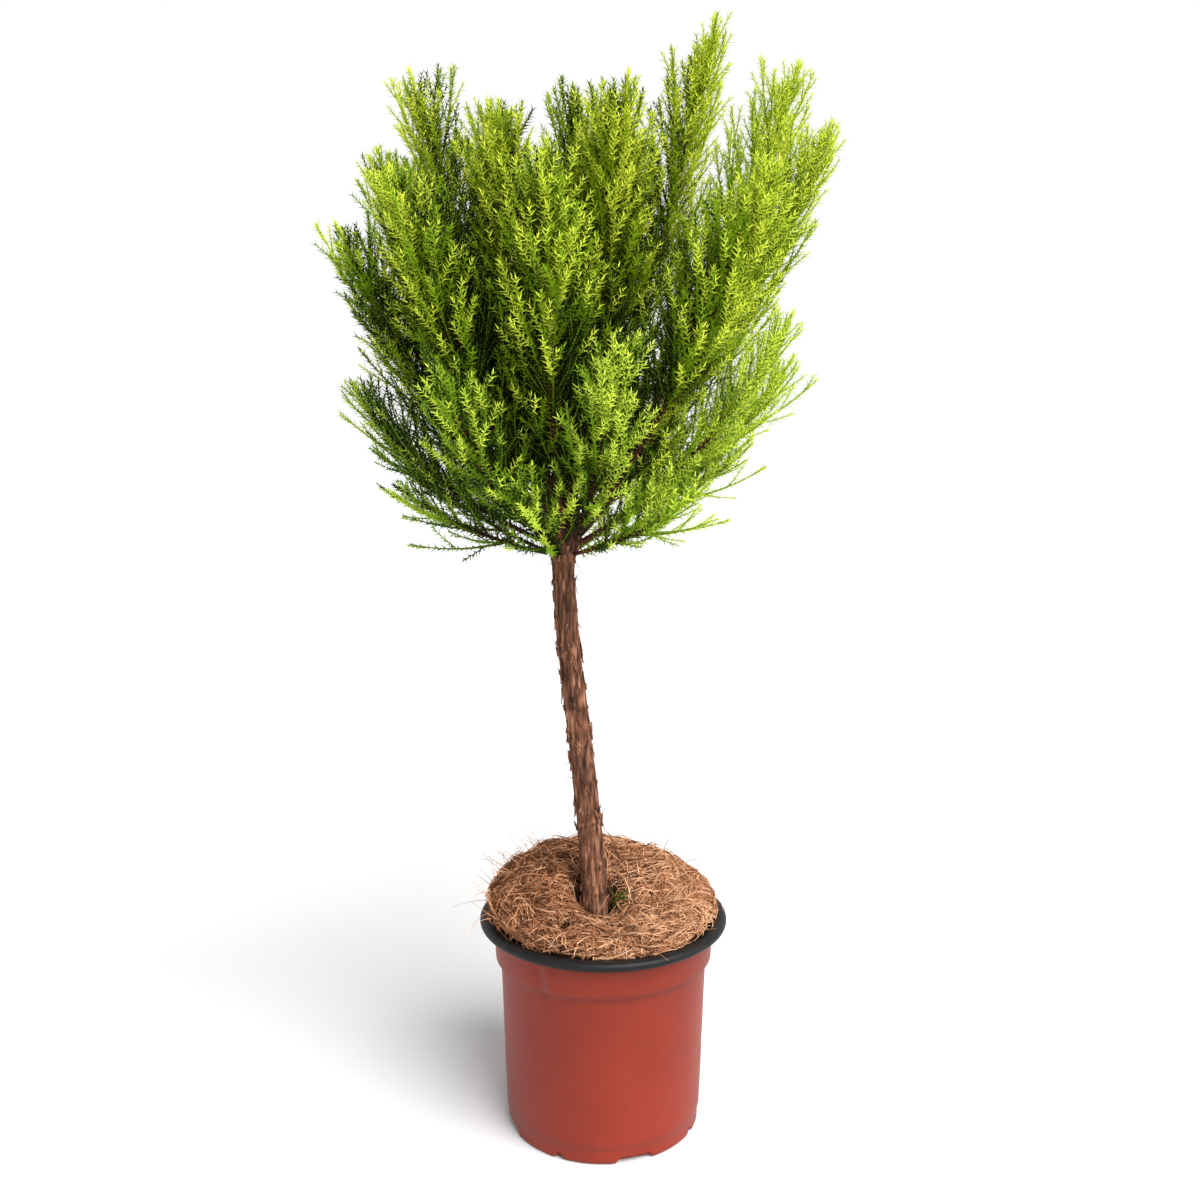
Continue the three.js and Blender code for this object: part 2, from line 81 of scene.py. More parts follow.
# each plume: the bearing it leans to, how far out its tip is and how far above the fork
RINGS = [
    dict(name="leader", group="crest", seat=(0, 371), arch=(0.5, 0.5), bough=0.34, base=2.7,
         sprays=7, reach=56, seed=8, finer=8, plumes=[(70, 18, 258)]),
    dict(name="inner", group="crest", seat=(5, 369.5), arch=(0.58, 0.46), bough=0.32, base=2.0,
         sprays=7, reach=56, seed=2, finer=8,
         plumes=[(12, 88, 295), (66, 66, 264), (125, 80, 260), (176, 84, 264), (238, 58, 238),
                 (302, 68, 250)]),
    dict(name="upper", group="side", seat=(10.3, 366), arch=(0.62, 0.42), bough=0.3, base=2.5,
         sprays=7, reach=60, seed=8, finer=8,
         plumes=[(355, 148, 234), (28, 160, 284), (70, 122, 250), (112, 120, 240), (150, 130, 232),
                 (187, 124, 180), (226, 118, 200), (268, 112, 208), (316, 150, 200)]),
    dict(name="lower", group="low", seat=(11.2, 360.5), arch=(0.66, 0.36), bough=0, base=1.5,
         sprays=7, reach=44, seed=5, finer=6,
         plumes=[(2, 132, 108), (48, 126, 126), (92, 116, 118), (137, 116, 104), (182, 120, 94),
                 (236, 112, 104), (285, 118, 118), (331, 138, 130)]),
    dict(name="skirt", group="low", seat=(9.6, 354), arch=(0.62, 0.34), bough=0, base=1.2,
         sprays=6, reach=30, seed=5, finer=3,
         plumes=[(350, 108, 64), (45, 98, 52), (105, 90, 46), (165, 110, 60), (200, 98, 38), (255, 88, 40),
                 (312, 104, 38)]),
]
LIMB = dict(sway=9, taper=0.55, root=4)
SPRAY = dict(first=0.14, last=0.9, turn=137.5, wide_angle=50, tip_angle=24, lift=0.5)

# ---- sizes that only the looks have ----

# pointed: how near its parent's tip a twig may reach, as a share of the way there, least and most
# curl: how far it bends up, as a share of its length
SPRAY = dict(SPRAY, pointed=(0.38, 0.95), curl=0.3)
LOW_SPRAY = dict(SPRAY, first=0.1, last=0.47, wide_angle=52, tip_angle=36)  # on the boughs
LOW_SPRAYS = dict(usual=21, bare=8)  # on each bough
BARE_BOUGHS = [7, 15]  # the numbers of the two limbs at the right whose wood shows
STRAY = dict(
    first=0.2, last=0.8, turn=137.5, wide_angle=38, tip_angle=24, lift=0.05, pointed=(0.75, 1.08), curl=0.22,
)
STRAYS = dict(count=6, reach=55)  # the long single twigs on each low plume
SHOOT = dict(
    first=0.08, last=0.97, turn=137.5, wide_angle=36, tip_angle=22, lift=0.3, pointed=(0.7, 1.0), curl=0.12,
)
SHORTEST_SHOOT = 3
SHOOT_REACH = dict(least=3, of_spray=0.42, most=20, on_stems=25)
SHOOT_SPACING = dict(crest=7, side=7, low=13, stray=15, stem=11.2)
HEAD_GAP = 2
# each kind's own row of chance for its first turn, and its shift in the numbers that chance takes
TURN_ROW = dict(low=4, stray=12, shoot=2, on_stems=6)
NUMBER_SHIFT = dict(low=31, stray=17)
NEEDLE = dict(length=4.2, width=0.95, thick=0.45, every=1.75, angle=56, tip_angle=26, on_stems=1.4)
TUFT = dict(from_share=0.72, length=0.72)  # where needles close up at a twig's tip, and how short they get
# how far out in its plume each kind of twig counts as, when tints are dealt: further in is darker, mostly as
# painted shade
DEPTH = dict(along=0.3, spray=0.08, shoot=0.42, on_stems=0.15, bough=0.46, stem=0.16)
TINT_STEPS = (0.6, 0.74)  # from deep to mid green, and from mid to light
# the score that deals tints: painted light for height, the right side, the outside, twigs that face up and
# out, and the crown's top; spray and own add tone at random
TINT_AND_PAINTED_LIGHT_SCORE = dict(base=0.02, height=0.14, right=0.13, out=0.28, side=0.15, top=0.14, spray=0.2, own=0.26)
LOW_TINT_AND_PAINTED_LIGHT = dict(base=0.16, right=0.15)  # what the low group has on top of that: a lighter tone overall, and painted light that grows to the right
# the crown's middle and size, by which painted light and shade are dealt among the tints
CROWN_CORE = np.array([-18.0, 0.0, 400.0])
CROWN_SPAN = dict(foot=370, tall=260, half_width=170, radius=60, widening=110)
METRE = 0.001

# ---- helpers ----

UP = np.array([0.0, 0.0, 1.0])


def chance(a, b):
    """The same number from 0 to 1 for the same pair of indices, every time."""
    s = np.sin(np.asarray(a) * 12.9898 + np.asarray(b) * 78.233) * 43758.5453
    return s - np.floor(s)


def lerp(a, b, share):
    return a + (b - a) * share


def unit(v):
    return v / np.maximum(np.linalg.norm(v, axis=-1, keepdims=True), 1e-9)


def bearing_vector(degrees):
    turn = np.radians(degrees)
    return np.stack([np.cos(turn), np.sin(turn), 0 * turn], axis=-1)


def frame_about(axis):
    """Two directions square to one another and to each axis; the second is the nearest to up."""
    side = np.cross(UP, axis)
    upright = np.linalg.norm(side, axis=-1, keepdims=True) < 1e-3
    side = unit(np.where(upright, np.array([1.0, 0.0, 0.0]), side))
    return side, unit(np.cross(axis, side))


def outwards(axis, turn):
    """The direction square to each axis at a turn round it."""
    side, over = frame_about(axis)
    turn = np.asarray(turn)[..., None]
    return side * np.cos(turn) + over * np.sin(turn)


def lattice(cell, seed):
    """The same number from 0 to 1 for the same cell and seed, every time."""
    s = np.sin(cell[..., 0] * 127.1 + cell[..., 1] * 311.7 + cell[..., 2] * 74.7 + seed * 19.19) * 43758.5453
    return s - np.floor(s)


def noise(points, seed=0):
    """Smooth noise from -1 to 1, with a feature in each unit cell."""
    base = np.floor(points)
    f = points - base
    f = f * f * (3 - 2 * f)
    total = 0
    for corner in np.ndindex(2, 2, 2):
        weight = np.prod(np.where(np.array(corner) == 1, f, 1 - f), axis=-1)
        total = total + weight * lattice(base + corner, seed)
    return 2 * total - 1


def around(radius, turn, height):
    """Points at a radius and a turn round the pot's axis, and a height."""
    return np.stack([radius * np.cos(turn), radius * np.sin(turn), height + 0 * turn], axis=-1)


def round_noise(turn, height, cells_round, cell_height, seed=0):
    """Noise over a round surface: a number of cells round it, and a height for each cell."""
    return noise(around(cells_round / (2 * math.pi), turn, height / cell_height), seed)


def placed(name, data):
    """A new object in the scene."""
    thing = bpy.data.objects.new(name, data)
    bpy.context.scene.collection.objects.link(thing)
    return thing


def add_piece(name, points, faces, material, slot, nodes, smooth=False):
    """A mesh piece from points in millimetres and a list of face arrays, dressed, put on the root body, and
    hiding its nodes.
    """
    mesh = bpy.data.meshes.new(name)
    points = np.asarray(points, dtype=np.float64).reshape(-1, 3) * METRE
    faces = [np.asarray(f, dtype=np.int32) for f in faces if len(f)]
    corners = np.concatenate([f.ravel() for f in faces])
    sizes = np.concatenate([np.full(len(f), f.shape[1], dtype=np.int32) for f in faces])
    starts = np.concatenate([[0], np.cumsum(sizes)[:-1]]).astype(np.int32)
    mesh.vertices.add(len(points))
    mesh.vertices.foreach_set("co", points.ravel())
    mesh.loops.add(len(corners))
    mesh.loops.foreach_set("vertex_index", corners)
    mesh.polygons.add(len(sizes))
    mesh.polygons.foreach_set("loop_start", starts)
    mesh.polygons.foreach_set("use_smooth", np.full(len(sizes), smooth))
    mesh.update(calc_edges=True)
    mesh.materials.append(material)
    piece = placed(name, mesh)
    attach(piece, "root")
    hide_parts(*nodes)
    return piece


def grid_faces(rows, columns, joined=False):
    """Quads over rows of points that run anticlockwise round the way the rows follow each other."""
    last = rows if joined else rows - 1
    k, i = np.meshgrid(np.arange(last), np.arange(columns), indexing="ij")
    a, b = k * columns, (k + 1) % rows * columns
    j = (i + 1) % columns
    return np.stack([a + i, a + j, b + j, b + i], axis=-1).reshape(-1, 4)


def cap_faces(rows, columns):
    """One flat face over the first row and one over the last."""
    first = np.arange(columns)[::-1]
    last = (rows - 1) * columns + np.arange(columns)
    return np.stack([first, last])


def tubes(paths, wide, thick, sides):
    """Points and faces of closed tubes: paths (n, k, 3), with half widths and thicknesses (n, k)."""
    n, k, _ = paths.shape
    tangent = unit(np.gradient(paths, axis=1))
    side, _ = frame_about(unit(paths[:, -1] - paths[:, 0]))
    over = unit(np.cross(tangent, side[:, None]))
    side = np.cross(over, tangent)
    turn = 2 * math.pi * np.arange(sides) / sides
    across = side[:, :, None] * (wide[..., None] * np.cos(turn))[..., None]
    along = over[:, :, None] * (thick[..., None] * np.sin(turn))[..., None]
    points = paths[:, :, None] + across + along
    starts = (np.arange(n) * k * sides)[:, None, None]
    walls = (grid_faces(k, sides)[None] + starts).reshape(-1, 4)
    caps = (cap_faces(k, sides)[None] + starts).reshape(-1, sides)
    return points.reshape(-1, 3), [walls, caps]


def joined(parts):
    """Several (points, faces) as one."""
    points, faces, start = [], [], 0
    for p, fs in parts:
        points.append(p)
        faces += [f + start for f in fs]
        start += len(p)
    return np.concatenate(points), faces


# ---- materials ----


def linear(r, g, b):
    """An 8-bit screen colour as the linear colour that shaders take."""
    c = np.array([r, g, b]) / 255
    return (*np.where(c <= 0.04045, c / 12.92, ((c + 0.055) / 1.055) ** 2.4), 1)


def mottled(name, colours, cells, roughness, bump=0, stretch=(1, 1, 1), detail=4, specular=0.5, fine=None):
    """A material of several colours dealt by noise. cells is how many features there are in a metre."""
    material = bpy.data.materials.new(name)
    material.use_nodes = True
    nodes, links = material.node_tree.nodes, material.node_tree.links
    shader = nodes["Principled BSDF"]
    shader.inputs["Roughness"].default_value = roughness
    shader.inputs["Specular IOR Level"].default_value = specular
    place = nodes.new("ShaderNodeTexCoord")
    mapping = nodes.new("ShaderNodeMapping")
    mapping.inputs["Scale"].default_value = stretch
    links.new(place.outputs["Object"], mapping.inputs["Vector"])
    pattern = nodes.new("ShaderNodeTexNoise")
    pattern.inputs["Scale"].default_value = cells
    pattern.inputs["Detail"].default_value = detail
    links.new(mapping.outputs["Vector"], pattern.inputs["Vector"])
    ramp = nodes.new("ShaderNodeValToRGB")
    spots = np.linspace(0.32, 0.68, len(colours))
    ramp.color_ramp.elements[0].position = spots[0]
    ramp.color_ramp.elements[0].color = colours[0]
    ramp.color_ramp.elements[1].position = spots[-1]
    ramp.color_ramp.elements[1].color = colours[-1]
    for spot, colour in zip(spots[1:-1], colours[1:-1]):
        ramp.color_ramp.elements.new(spot).color = colour
    links.new(pattern.outputs["Fac"], ramp.inputs["Fac"])
    links.new(ramp.outputs["Color"], shader.inputs["Base Color"])
    if bump:
        grain = nodes.new("ShaderNodeTexNoise")
        grain.inputs["Scale"].default_value = fine or cells * 3
        grain.inputs["Detail"].default_value = detail
        links.new(mapping.outputs["Vector"], grain.inputs["Vector"])
        relief = nodes.new("ShaderNodeBump")
        relief.inputs["Strength"].default_value = bump
        relief.inputs["Distance"].default_value = METRE
        links.new(grain.outputs["Fac"], relief.inputs["Height"])
        links.new(relief.outputs["Normal"], shader.inputs["Normal"])
    return material


TERRACOTTA = mottled(
    "terracotta_plastic", [linear(115, 33, 15), linear(123, 36, 17), linear(131, 40, 20)],
    cells=14, roughness=0.45, bump=0.12, fine=900, detail=3, specular=0.3,
)
BLACK = mottled(
    "black_plastic", [linear(12, 12, 13), linear(17, 16, 17), linear(24, 22, 22)],
    cells=120, roughness=0.5, bump=0.1, fine=1200, specular=0.25,
)
SOIL = mottled(
    "potting_mix", [linear(34, 24, 18), linear(72, 52, 38)], cells=260, roughness=0.95, bump=0.8,
)
BARK = mottled(
    "bark", [linear(48, 31, 24), linear(84, 54, 40), linear(118, 78, 57), linear(158, 112, 86)],
    cells=520, roughness=0.95, bump=0.9, stretch=(1, 1, 0.14), specular=0.2, detail=6,
)
BOUGH_BARK = mottled(
    "bough_bark", [linear(44, 22, 14), linear(74, 36, 22), linear(108, 56, 32)],
    cells=220, roughness=0.8, bump=0.5, stretch=(1, 1, 0.4), specular=0.3,
)
COIR_BED = mottled(
    "coir_bed", [linear(26, 14, 8), linear(62, 36, 22)], cells=180, roughness=1, bump=1, specular=0.1,
)
COIR_TINTS = {
    "straw": mottled("coir_straw", [linear(192, 144, 108), linear(216, 172, 134)], 90, 0.9, specular=0.2),
    "tan": mottled("coir_tan", [linear(146, 96, 64), linear(174, 122, 86)], 90, 0.9, specular=0.2),
    "brown": mottled("coir_brown", [linear(72, 42, 24), linear(108, 68, 42)], 90, 0.9, specular=0.2),
}
MOSS_GREEN = mottled(
    "moss_green", [linear(44, 54, 14), linear(74, 86, 22), linear(108, 114, 36)],
    cells=900, roughness=0.8, specular=0.2,
)
# each group's needle greens: deep and light are shaded and lit copies of mid, dealt as painted shade and
# painted light, and also at random for tone
NEEDLE_GREENS_LIT_AND_SHADED = {
    "crest": dict(light=(210, 222, 66), mid=(132, 160, 12), deep=(19, 41, 1)),
    "side": dict(light=(206, 222, 66), mid=(122, 155, 14), deep=(14, 33, 1)),
    "low": dict(light=(200, 221, 72), mid=(126, 161, 26), deep=(25, 52, 6)),
}
NEEDLE_SHADES = ((0.9, 0.94, 0.9), (1, 1, 1), (1.06, 1.03, 1.1))


def needle_green(name, colour):
    """A green that varies a little round one colour."""
    shades = [linear(*np.multiply(colour, shade)) for shade in NEEDLE_SHADES]
    return mottled(name, shades, cells=240, roughness=0.6, detail=1, specular=0.15)


# ---- pot and rim ----

DENT = dict(bearing=236, width=3.2, depth=0.9, ridge=1.1, middle=115, half_height=13, lean=0.12)
CREASE = dict(height=50, depth=0.28, wide=2.2, wander=2.5)
WALL = 1.2
RIM_BEAD_TURNS = (-math.pi / 2, math.pi * 0.62)
# the rim's flatter flange: (how far outside its inner edge, how far below its top)
RIM_FLANGE = [(4.6, 0.35), (1.6, 0.9), (0.4, 1.4), (0, 2.4)]


def recess_height(turn, radius):
    """How far the drain recesses raise the foot at each turn."""
    height = 0 * turn
    if radius < RECESS["inner_radius"]:
        return height
    for index in range(RECESS["count"]):
        foot = RECESS["wide" if index % 2 == 0 else "narrow"] / 2
        head = max(foot - RECESS["slope"], 1)
        bearing = math.radians(RECESS["first_bearing"] + 360 / RECESS["count"] * index)
        off = np.angle(np.exp(1j * (turn - bearing)))
        share = np.clip((foot - np.abs(off) * radius) / (foot - head), 0, 1)
        height = np.maximum(height, share * RECESS["height"])
    return height


def pot_marks(turn, z):
    """How far marks stand off the wall's outside: a fold in the collar and a crease lower down."""
    off = np.degrees(np.angle(np.exp(1j * (turn - math.radians(DENT["bearing"])))))
    from_middle = z - DENT["middle"]
    in_collar = np.exp(-((from_middle / DENT["half_height"]) ** 4))
    lean = off + DENT["lean"] * from_middle
    fold = -DENT["depth"] * np.exp(-((lean / DENT["width"]) ** 2)) * in_collar
    ridge = DENT["ridge"] * np.exp(-(((lean - 2 * DENT["width"]) / DENT["width"]) ** 2)) * in_collar
    line = CREASE["height"] + CREASE["wander"] * np.sin(turn * 2 + 1)
    crease = -CREASE["depth"] * np.exp(-(((z - line) / CREASE["wide"]) ** 2))
    return fold + ridge + crease


def pot_squeeze(turn, z):
    """How far the thin wall is out of round."""
    return (0.35 * np.sin(2 * turn + 0.6) + 0.2 * round_noise(turn, z, 9, 40, 3)) * np.clip(z / 30, 0, 1)


def densified(profile, step):
    """A profile with more points on its long runs."""
    out = [profile[0]]
    for a, b in zip(profile, profile[1:]):
        n = max(1, int(math.dist(a, b) / step))
        out += [(lerp(a[0], b[0], i / n), lerp(a[1], b[1], i / n)) for i in range(1, n + 1)]
    return out


def pot_mesh(segments=360):
    turn = 2 * math.pi * np.arange(segments) / segments
    # rings close to the recesses' inner radius, so that their ends stay upright
    underside = [(r, 0) for r in (30, 43, 43.9, 44.1, 50, 56)]
    wall = densified(POT_OUTSIDE[:2] + [(58.65, 3), (58.7, 5)] + POT_OUTSIDE[2:], 3)
    inside = densified(POT_INSIDE[::-1], 8)
    rows = []
    for r, z in underside + wall:
        lift = recess_height(turn, r)
        height = np.maximum(z, lift) if r >= POT_OUTSIDE[0][0] else z + lift
        off = pot_squeeze(turn, height) + pot_marks(turn, height)
        rows.append(around(r + off, turn, height))
    for r, z in inside:
        off = pot_squeeze(turn, z + 0 * turn)
        over_recess = recess_height(turn, r) + WALL
        height = np.maximum(z, over_recess) if z < RECESS["height"] + WALL else z + 0 * turn
        rows.append(around(r + off, turn, height))
    rows = np.array(rows)
    return rows.reshape(-1, 3), [grid_faces(len(rows), segments), cap_faces(len(rows), segments)]


def rim_mesh(segments=256, sides=20):
    """A rolled bead at the outside and a flatter flange inside it."""
    turn = 2 * math.pi * np.arange(segments) / segments
    bead = (RIM["top"] - RIM["bottom"]) / 2
    middle = RIM["outer"] - bead, RIM["bottom"] + bead
    section = [(RIM["inner"], RIM["bottom"])]
    for a in np.linspace(*RIM_BEAD_TURNS, sides - 5):
        section.append((middle[0] + bead * math.cos(a), middle[1] + bead * math.sin(a)))
    section += [(RIM["inner"] + out, RIM["top"] - down) for out, down in RIM_FLANGE]
    rows = []
    for r, z in section:
        wave = 0.25 * round_noise(turn, z + 0 * turn, 12, 60, 5)
        rows.append(around(r + wave, turn, z + 0.6 * wave))
    rows = np.array(rows)
    return rows.reshape(-1, 3), [grid_faces(len(rows), segments, joined=True)]


# ---- coir mat ----

MAT_CLOSED = 10.2  # the hole's radius here, where loose fibres have closed it in on the stem
MAT_FUNNEL = 0.4  # how the mat falls to the stem: at 1 it would fall as it does in the CAD
MAT_LUMPS = ((2.6, 19, 11), (1.5, 8, 12))  # the height, size and seed of its lumps
MAT_OVER_EDGE = 60  # how steeply its top ends
SLIT = dict(x=-23, y=-37, wide=3.8, long=7.5, depth=11, clear=0.72)
FIBRE = dict(count=5600, shortest=10, longest=40, thin=0.22, thick=0.46, points=6, spread=0.75, curl=0.6)
FLOW = dict(size=26, seed=31, turn=2.6)  # which way neighbouring fibres lie
LAYER = dict(heights=(-0.4, 2.6), arch=1.6, tilt=0.16, tilt_limits=(-1.5, 6))
FIBRE_TINTS = (0.28, 0.72)  # the shares where one tint ends and the next starts
MAT_LEFT_PAINTED_SHADE = 0.3  # how much the share of straw-coloured fibres grows to the right, and of brown ones to the left, as painted shade on the mat's left
WALL_FIBRE = dict(count=1500, shortest=8, longest=26, slope=0.6, sag=2, least_wall=2)
WISP = dict(count=190, shortest=12, longest=30, rise=15, thin=0.13, thick=0.26, bearing=160, at_bearing=0.45)
MOSS = dict(x=9.5, y=1, spread=3, count=55, shortest=2.5, longest=5, thick=0.38)
CRUMBS = dict(count=34, shortest=2.5, longest=8, thin=0.4, thick=0.9)


def mat_rise(turn, share):
    """How high the mat's top lies at a share of the way out from the stem, before its lumps."""
    rise = MAT_RISE["mean"] + MAT_RISE["back"] * np.sin(turn) - MAT_RISE["left"] * np.cos(turn)
    inwards = np.maximum(0, (MAT_RISE["crest"] - share) / MAT_RISE["crest"])
    beyond = np.maximum(0, (share - MAT_RISE["crest"]) / (1 - MAT_RISE["crest"]))
    return MAT["floor"] + rise * (1 - inwards**2 - MAT_RISE["edge_fall"] * beyond**2)


def mat_spill(turn):
    """How far the mat bulges out over the rim, where it stands high enough."""
    s = np.clip((mat_rise(turn, 1) - RIM["top"] - 2) / 8, 0, 1)
    return MAT_RISE["spill"] * s * s * (3 - 2 * s)


def mat_place(x, y):
    """The turn and the share of the way out of a place on the mat."""
    share = 0.5 + 0 * x
    for _ in range(4):
        turn = np.arctan2(y, x - TRUNK["foot_x"] * (1 - share))
        rho = np.hypot(x - TRUNK["foot_x"] * (1 - share), y)
        share = (rho - MAT["hole"]) / (MAT["radius"] + mat_spill(turn) / 2 - MAT["hole"])
    return turn, share


def slit_distance(x, y):
    """How far a place is from the mat's short slit, in the slit's own half sizes."""
    return np.hypot((x - SLIT["x"]) / SLIT["wide"], (y - SLIT["y"]) / SLIT["long"])


def mat_top(x, y):
    """The height of the mat's top at a place, lumps and all; beyond the edge it falls away."""
    turn, share = mat_place(x, y)
    where = np.stack([x, y, 0 * x], axis=-1)
    lumps = sum(height * noise(where / size, seed) for height, size, seed in MAT_LUMPS)
    inside = np.clip(share, 0, 1)
    funnel = mat_rise(turn, inside**MAT_FUNNEL * MAT_RISE["crest"] ** (1 - MAT_FUNNEL))
    height = np.where(share < MAT_RISE["crest"], funnel, mat_rise(turn, inside))
    slit = SLIT["depth"] * np.exp(-(slit_distance(x, y) ** 4))
    fall = MAT_OVER_EDGE * np.maximum(0, share - 1)
    return height + lumps * np.clip(4 * share, 0.2, 1) - slit - fall


def mat_mesh(segments=144):
    turn = 2 * math.pi * np.arange(segments) / segments
    out = bearing_vector(np.degrees(turn))
    hole = out * MAT_CLOSED + [TRUNK["foot_x"], 0, 0]

    def row(xy, z):
        return np.concatenate([xy[:, :2], (z + 0 * turn)[:, None]], axis=1)

    edge = mat_rise(turn, 1)
    rows = [row(hole, GROUND), row(out * MAT["radius"], GROUND)]
    rows.append(row(out * MAT["radius"], np.minimum(RIM["top"] + 0.6, edge - 4)))
    rows.append(row(out * (MAT["radius"] + mat_spill(turn))[:, None], edge - 2))
    for share in np.linspace(1, 0, 26):
        at = lerp(hole, out * (MAT["radius"] + mat_spill(turn) / 2)[:, None], share)
        rows.append(row(at, mat_top(at[:, 0], at[:, 1]) - 0.8))
    rows = np.array(rows)
    return rows.reshape(-1, 3), [grid_faces(len(rows), segments, joined=True)]


def random_lengths(rng, kind):
    """A length for each piece of a kind, from its shortest to its longest."""
    return rng.uniform(kind["shortest"], kind["longest"], kind["count"])


def fibre_radii(rng, count, s):
    """Radii of fibres that thin out towards both ends; s runs from -0.5 to 0.5 along them."""
    return rng.uniform(FIBRE["thin"], FIBRE["thick"], count)[:, None] * (1 - 0.75 * np.abs(2 * s) ** 3)


def held_on_mat(px, py, most):
    """Places on fibres, drawn in from beyond the mat's edge and pushed out of the stem."""
    pull = np.minimum(1, most / np.hypot(px, py))
    fx, fy = px * pull - TRUNK["foot_x"], py * pull
    push = np.maximum(1, (MAT_CLOSED - 0.4) / np.maximum(np.hypot(fx, fy), 1e-6))
    return TRUNK["foot_x"] + fx * push, fy * push


def clear_of_slit(px, py):
    """Which fibres have none of their points, nor the places halfway between them, over the slit."""
    halfway = slit_distance((px[:, 1:] + px[:, :-1]) / 2, (py[:, 1:] + py[:, :-1]) / 2)
    return np.concatenate([slit_distance(px, py), halfway], axis=1).min(axis=1) > SLIT["clear"]


def mat_fibres():
    """Paths, radii and tint numbers of the fibres that lie on the mat."""
    rng = np.random.default_rng(21)
    n, k = FIBRE["count"], FIBRE["points"]
    turn = rng.uniform(0, 2 * math.pi, n)
    share = np.sqrt(rng.uniform(0.01, 1.02, n))
    radius = MAT["radius"] + mat_spill(turn) * 0.7
    x = (TRUNK["foot_x"] + MAT_CLOSED * np.cos(turn)) * (1 - share) + radius * np.cos(turn) * share
    y = MAT_CLOSED * np.sin(turn) * (1 - share) + radius * np.sin(turn) * share
    where = np.stack([x / FLOW["size"], y / FLOW["size"], 0 * x], axis=-1)
    heading = noise(where, FLOW["seed"]) * FLOW["turn"] + rng.normal(0, FIBRE["spread"], n)
    length = random_lengths(rng, FIBRE) * rng.uniform(0.6, 1, n)
    curl = rng.normal(0, FIBRE["curl"], n)
    s = np.linspace(-0.5, 0.5, k)
    bend = heading[:, None] + curl[:, None] * s * 1.6 + 0.12 * np.sin(9 * s + turn[:, None] * 7)
    step = (length / (k - 1))[:, None]
    start_x = x - length / 2 * np.cos(heading)
    start_y = y - length / 2 * np.sin(heading)
    px = start_x[:, None] + np.cumsum(np.cos(bend) * step, axis=1)
    py = start_y[:, None] + np.cumsum(np.sin(bend) * step, axis=1)
    most = MAT["radius"] + rng.uniform(0.5, 4, n)[:, None] + mat_spill(np.arctan2(py, px))
    px, py = held_on_mat(px, py, most)
    layer = rng.uniform(*LAYER["heights"], n)[:, None]
    arch = rng.uniform(0, LAYER["arch"], n)[:, None] * (1 - (2 * s) ** 2)
    tilt = rng.normal(0, LAYER["tilt"], n)[:, None] * length[:, None] * s
    pz = mat_top(px, py) + layer + arch + np.clip(tilt, *LAYER["tilt_limits"])
    radii = fibre_radii(rng, n, s)
    # browner fibres towards the left: painted shade on the mat's left side
    tint = np.digitize(rng.uniform(0, 1, n) - MAT_LEFT_PAINTED_SHADE * x / MAT["radius"], FIBRE_TINTS)
    clear = clear_of_slit(px, py)
    return np.stack([px, py, pz], axis=-1)[clear], radii[clear], tint[clear]


def mat_wall_fibres():
    """Paths, radii and tint numbers of the fibres on the mat's edge, where it stands above the rim."""
    rng = np.random.default_rng(25)
    n, k = WALL_FIBRE["count"], FIBRE["points"]
    turn = rng.uniform(0, 2 * math.pi, n)
    slope = rng.normal(0, WALL_FIBRE["slope"], n)
    length = random_lengths(rng, WALL_FIBRE)
    s = np.linspace(-0.5, 0.5, k)[None]
    turns = turn[:, None] + (length * np.cos(slope) / MAT["radius"])[:, None] * s
    low = RIM["top"] + 0.4
    top = np.maximum(mat_rise(turns, 1) - 0.5, low + 0.1)
    sag = rng.normal(0, WALL_FIBRE["sag"], n)[:, None] * (1 - (2 * s) ** 2)
    climb = (length * np.sin(slope))[:, None] * s + sag
    z = np.clip(lerp(low, top, rng.uniform(0, 1, n)[:, None]) + climb, low, top + 1)
    up = np.clip((z - low) / (top - low), 0, 1)
    radius = MAT["radius"] + mat_spill(turns) * up + rng.uniform(-0.2, 1.5, n)[:, None]
    paths = around(radius, turns, z)
    radii = fibre_radii(rng, n, s)
    tint = rng.choice(3, n, p=[0.25, 0.45, 0.3])
    walled = (top - low).min(axis=1) > WALL_FIBRE["least_wall"]
    return paths[walled], radii[walled], tint[walled]


def mat_wisps():
    """Paths, radii and tint numbers of the loose ends that stand out of the mat and over the rim."""
    rng = np.random.default_rng(22)
    n, k = WISP["count"], FIBRE["points"]
    gathered = rng.uniform(0, 1, n) < WISP["at_bearing"]
    near = rng.normal(math.radians(WISP["bearing"]), 0.5, n)
    turn = np.where(gathered, near, rng.uniform(0, 2 * math.pi, n))
    share = np.clip(1.02 - np.abs(rng.normal(0, 0.35, n)), 0.25, 1.02)
    radius = MAT["radius"] + mat_spill(turn) * 0.7
    x = radius * np.cos(turn) * share
    y = radius * np.sin(turn) * share
    length = random_lengths(rng, WISP)
    heading = turn + rng.normal(0, 1.1, n)
    climb = rng.uniform(0.1, 1.1, n)[:, None]
    s = np.linspace(0, 1, k)[None]
    fall = rng.uniform(0.1, 0.9, n)[:, None]
    bend = heading[:, None] + rng.normal(0, 0.8, n)[:, None] * s
    step = (length / (k - 1))[:, None]
    px = x[:, None] + np.cumsum(np.cos(bend) * step * np.cos(climb), axis=1)
    py = y[:, None] + np.cumsum(np.sin(bend) * step * np.cos(climb), axis=1)
    rise = length[:, None] * (np.sin(climb) * s - 0.5 * fall * s**2)
    pz = mat_top(x, y)[:, None] + np.minimum(rise, WISP["rise"])
    radii = rng.uniform(WISP["thin"], WISP["thick"], n)[:, None] * (1 - 0.6 * s)
    return np.stack([px, py, pz], axis=-1), radii, rng.choice(3, n, p=[0.5, 0.35, 0.15])


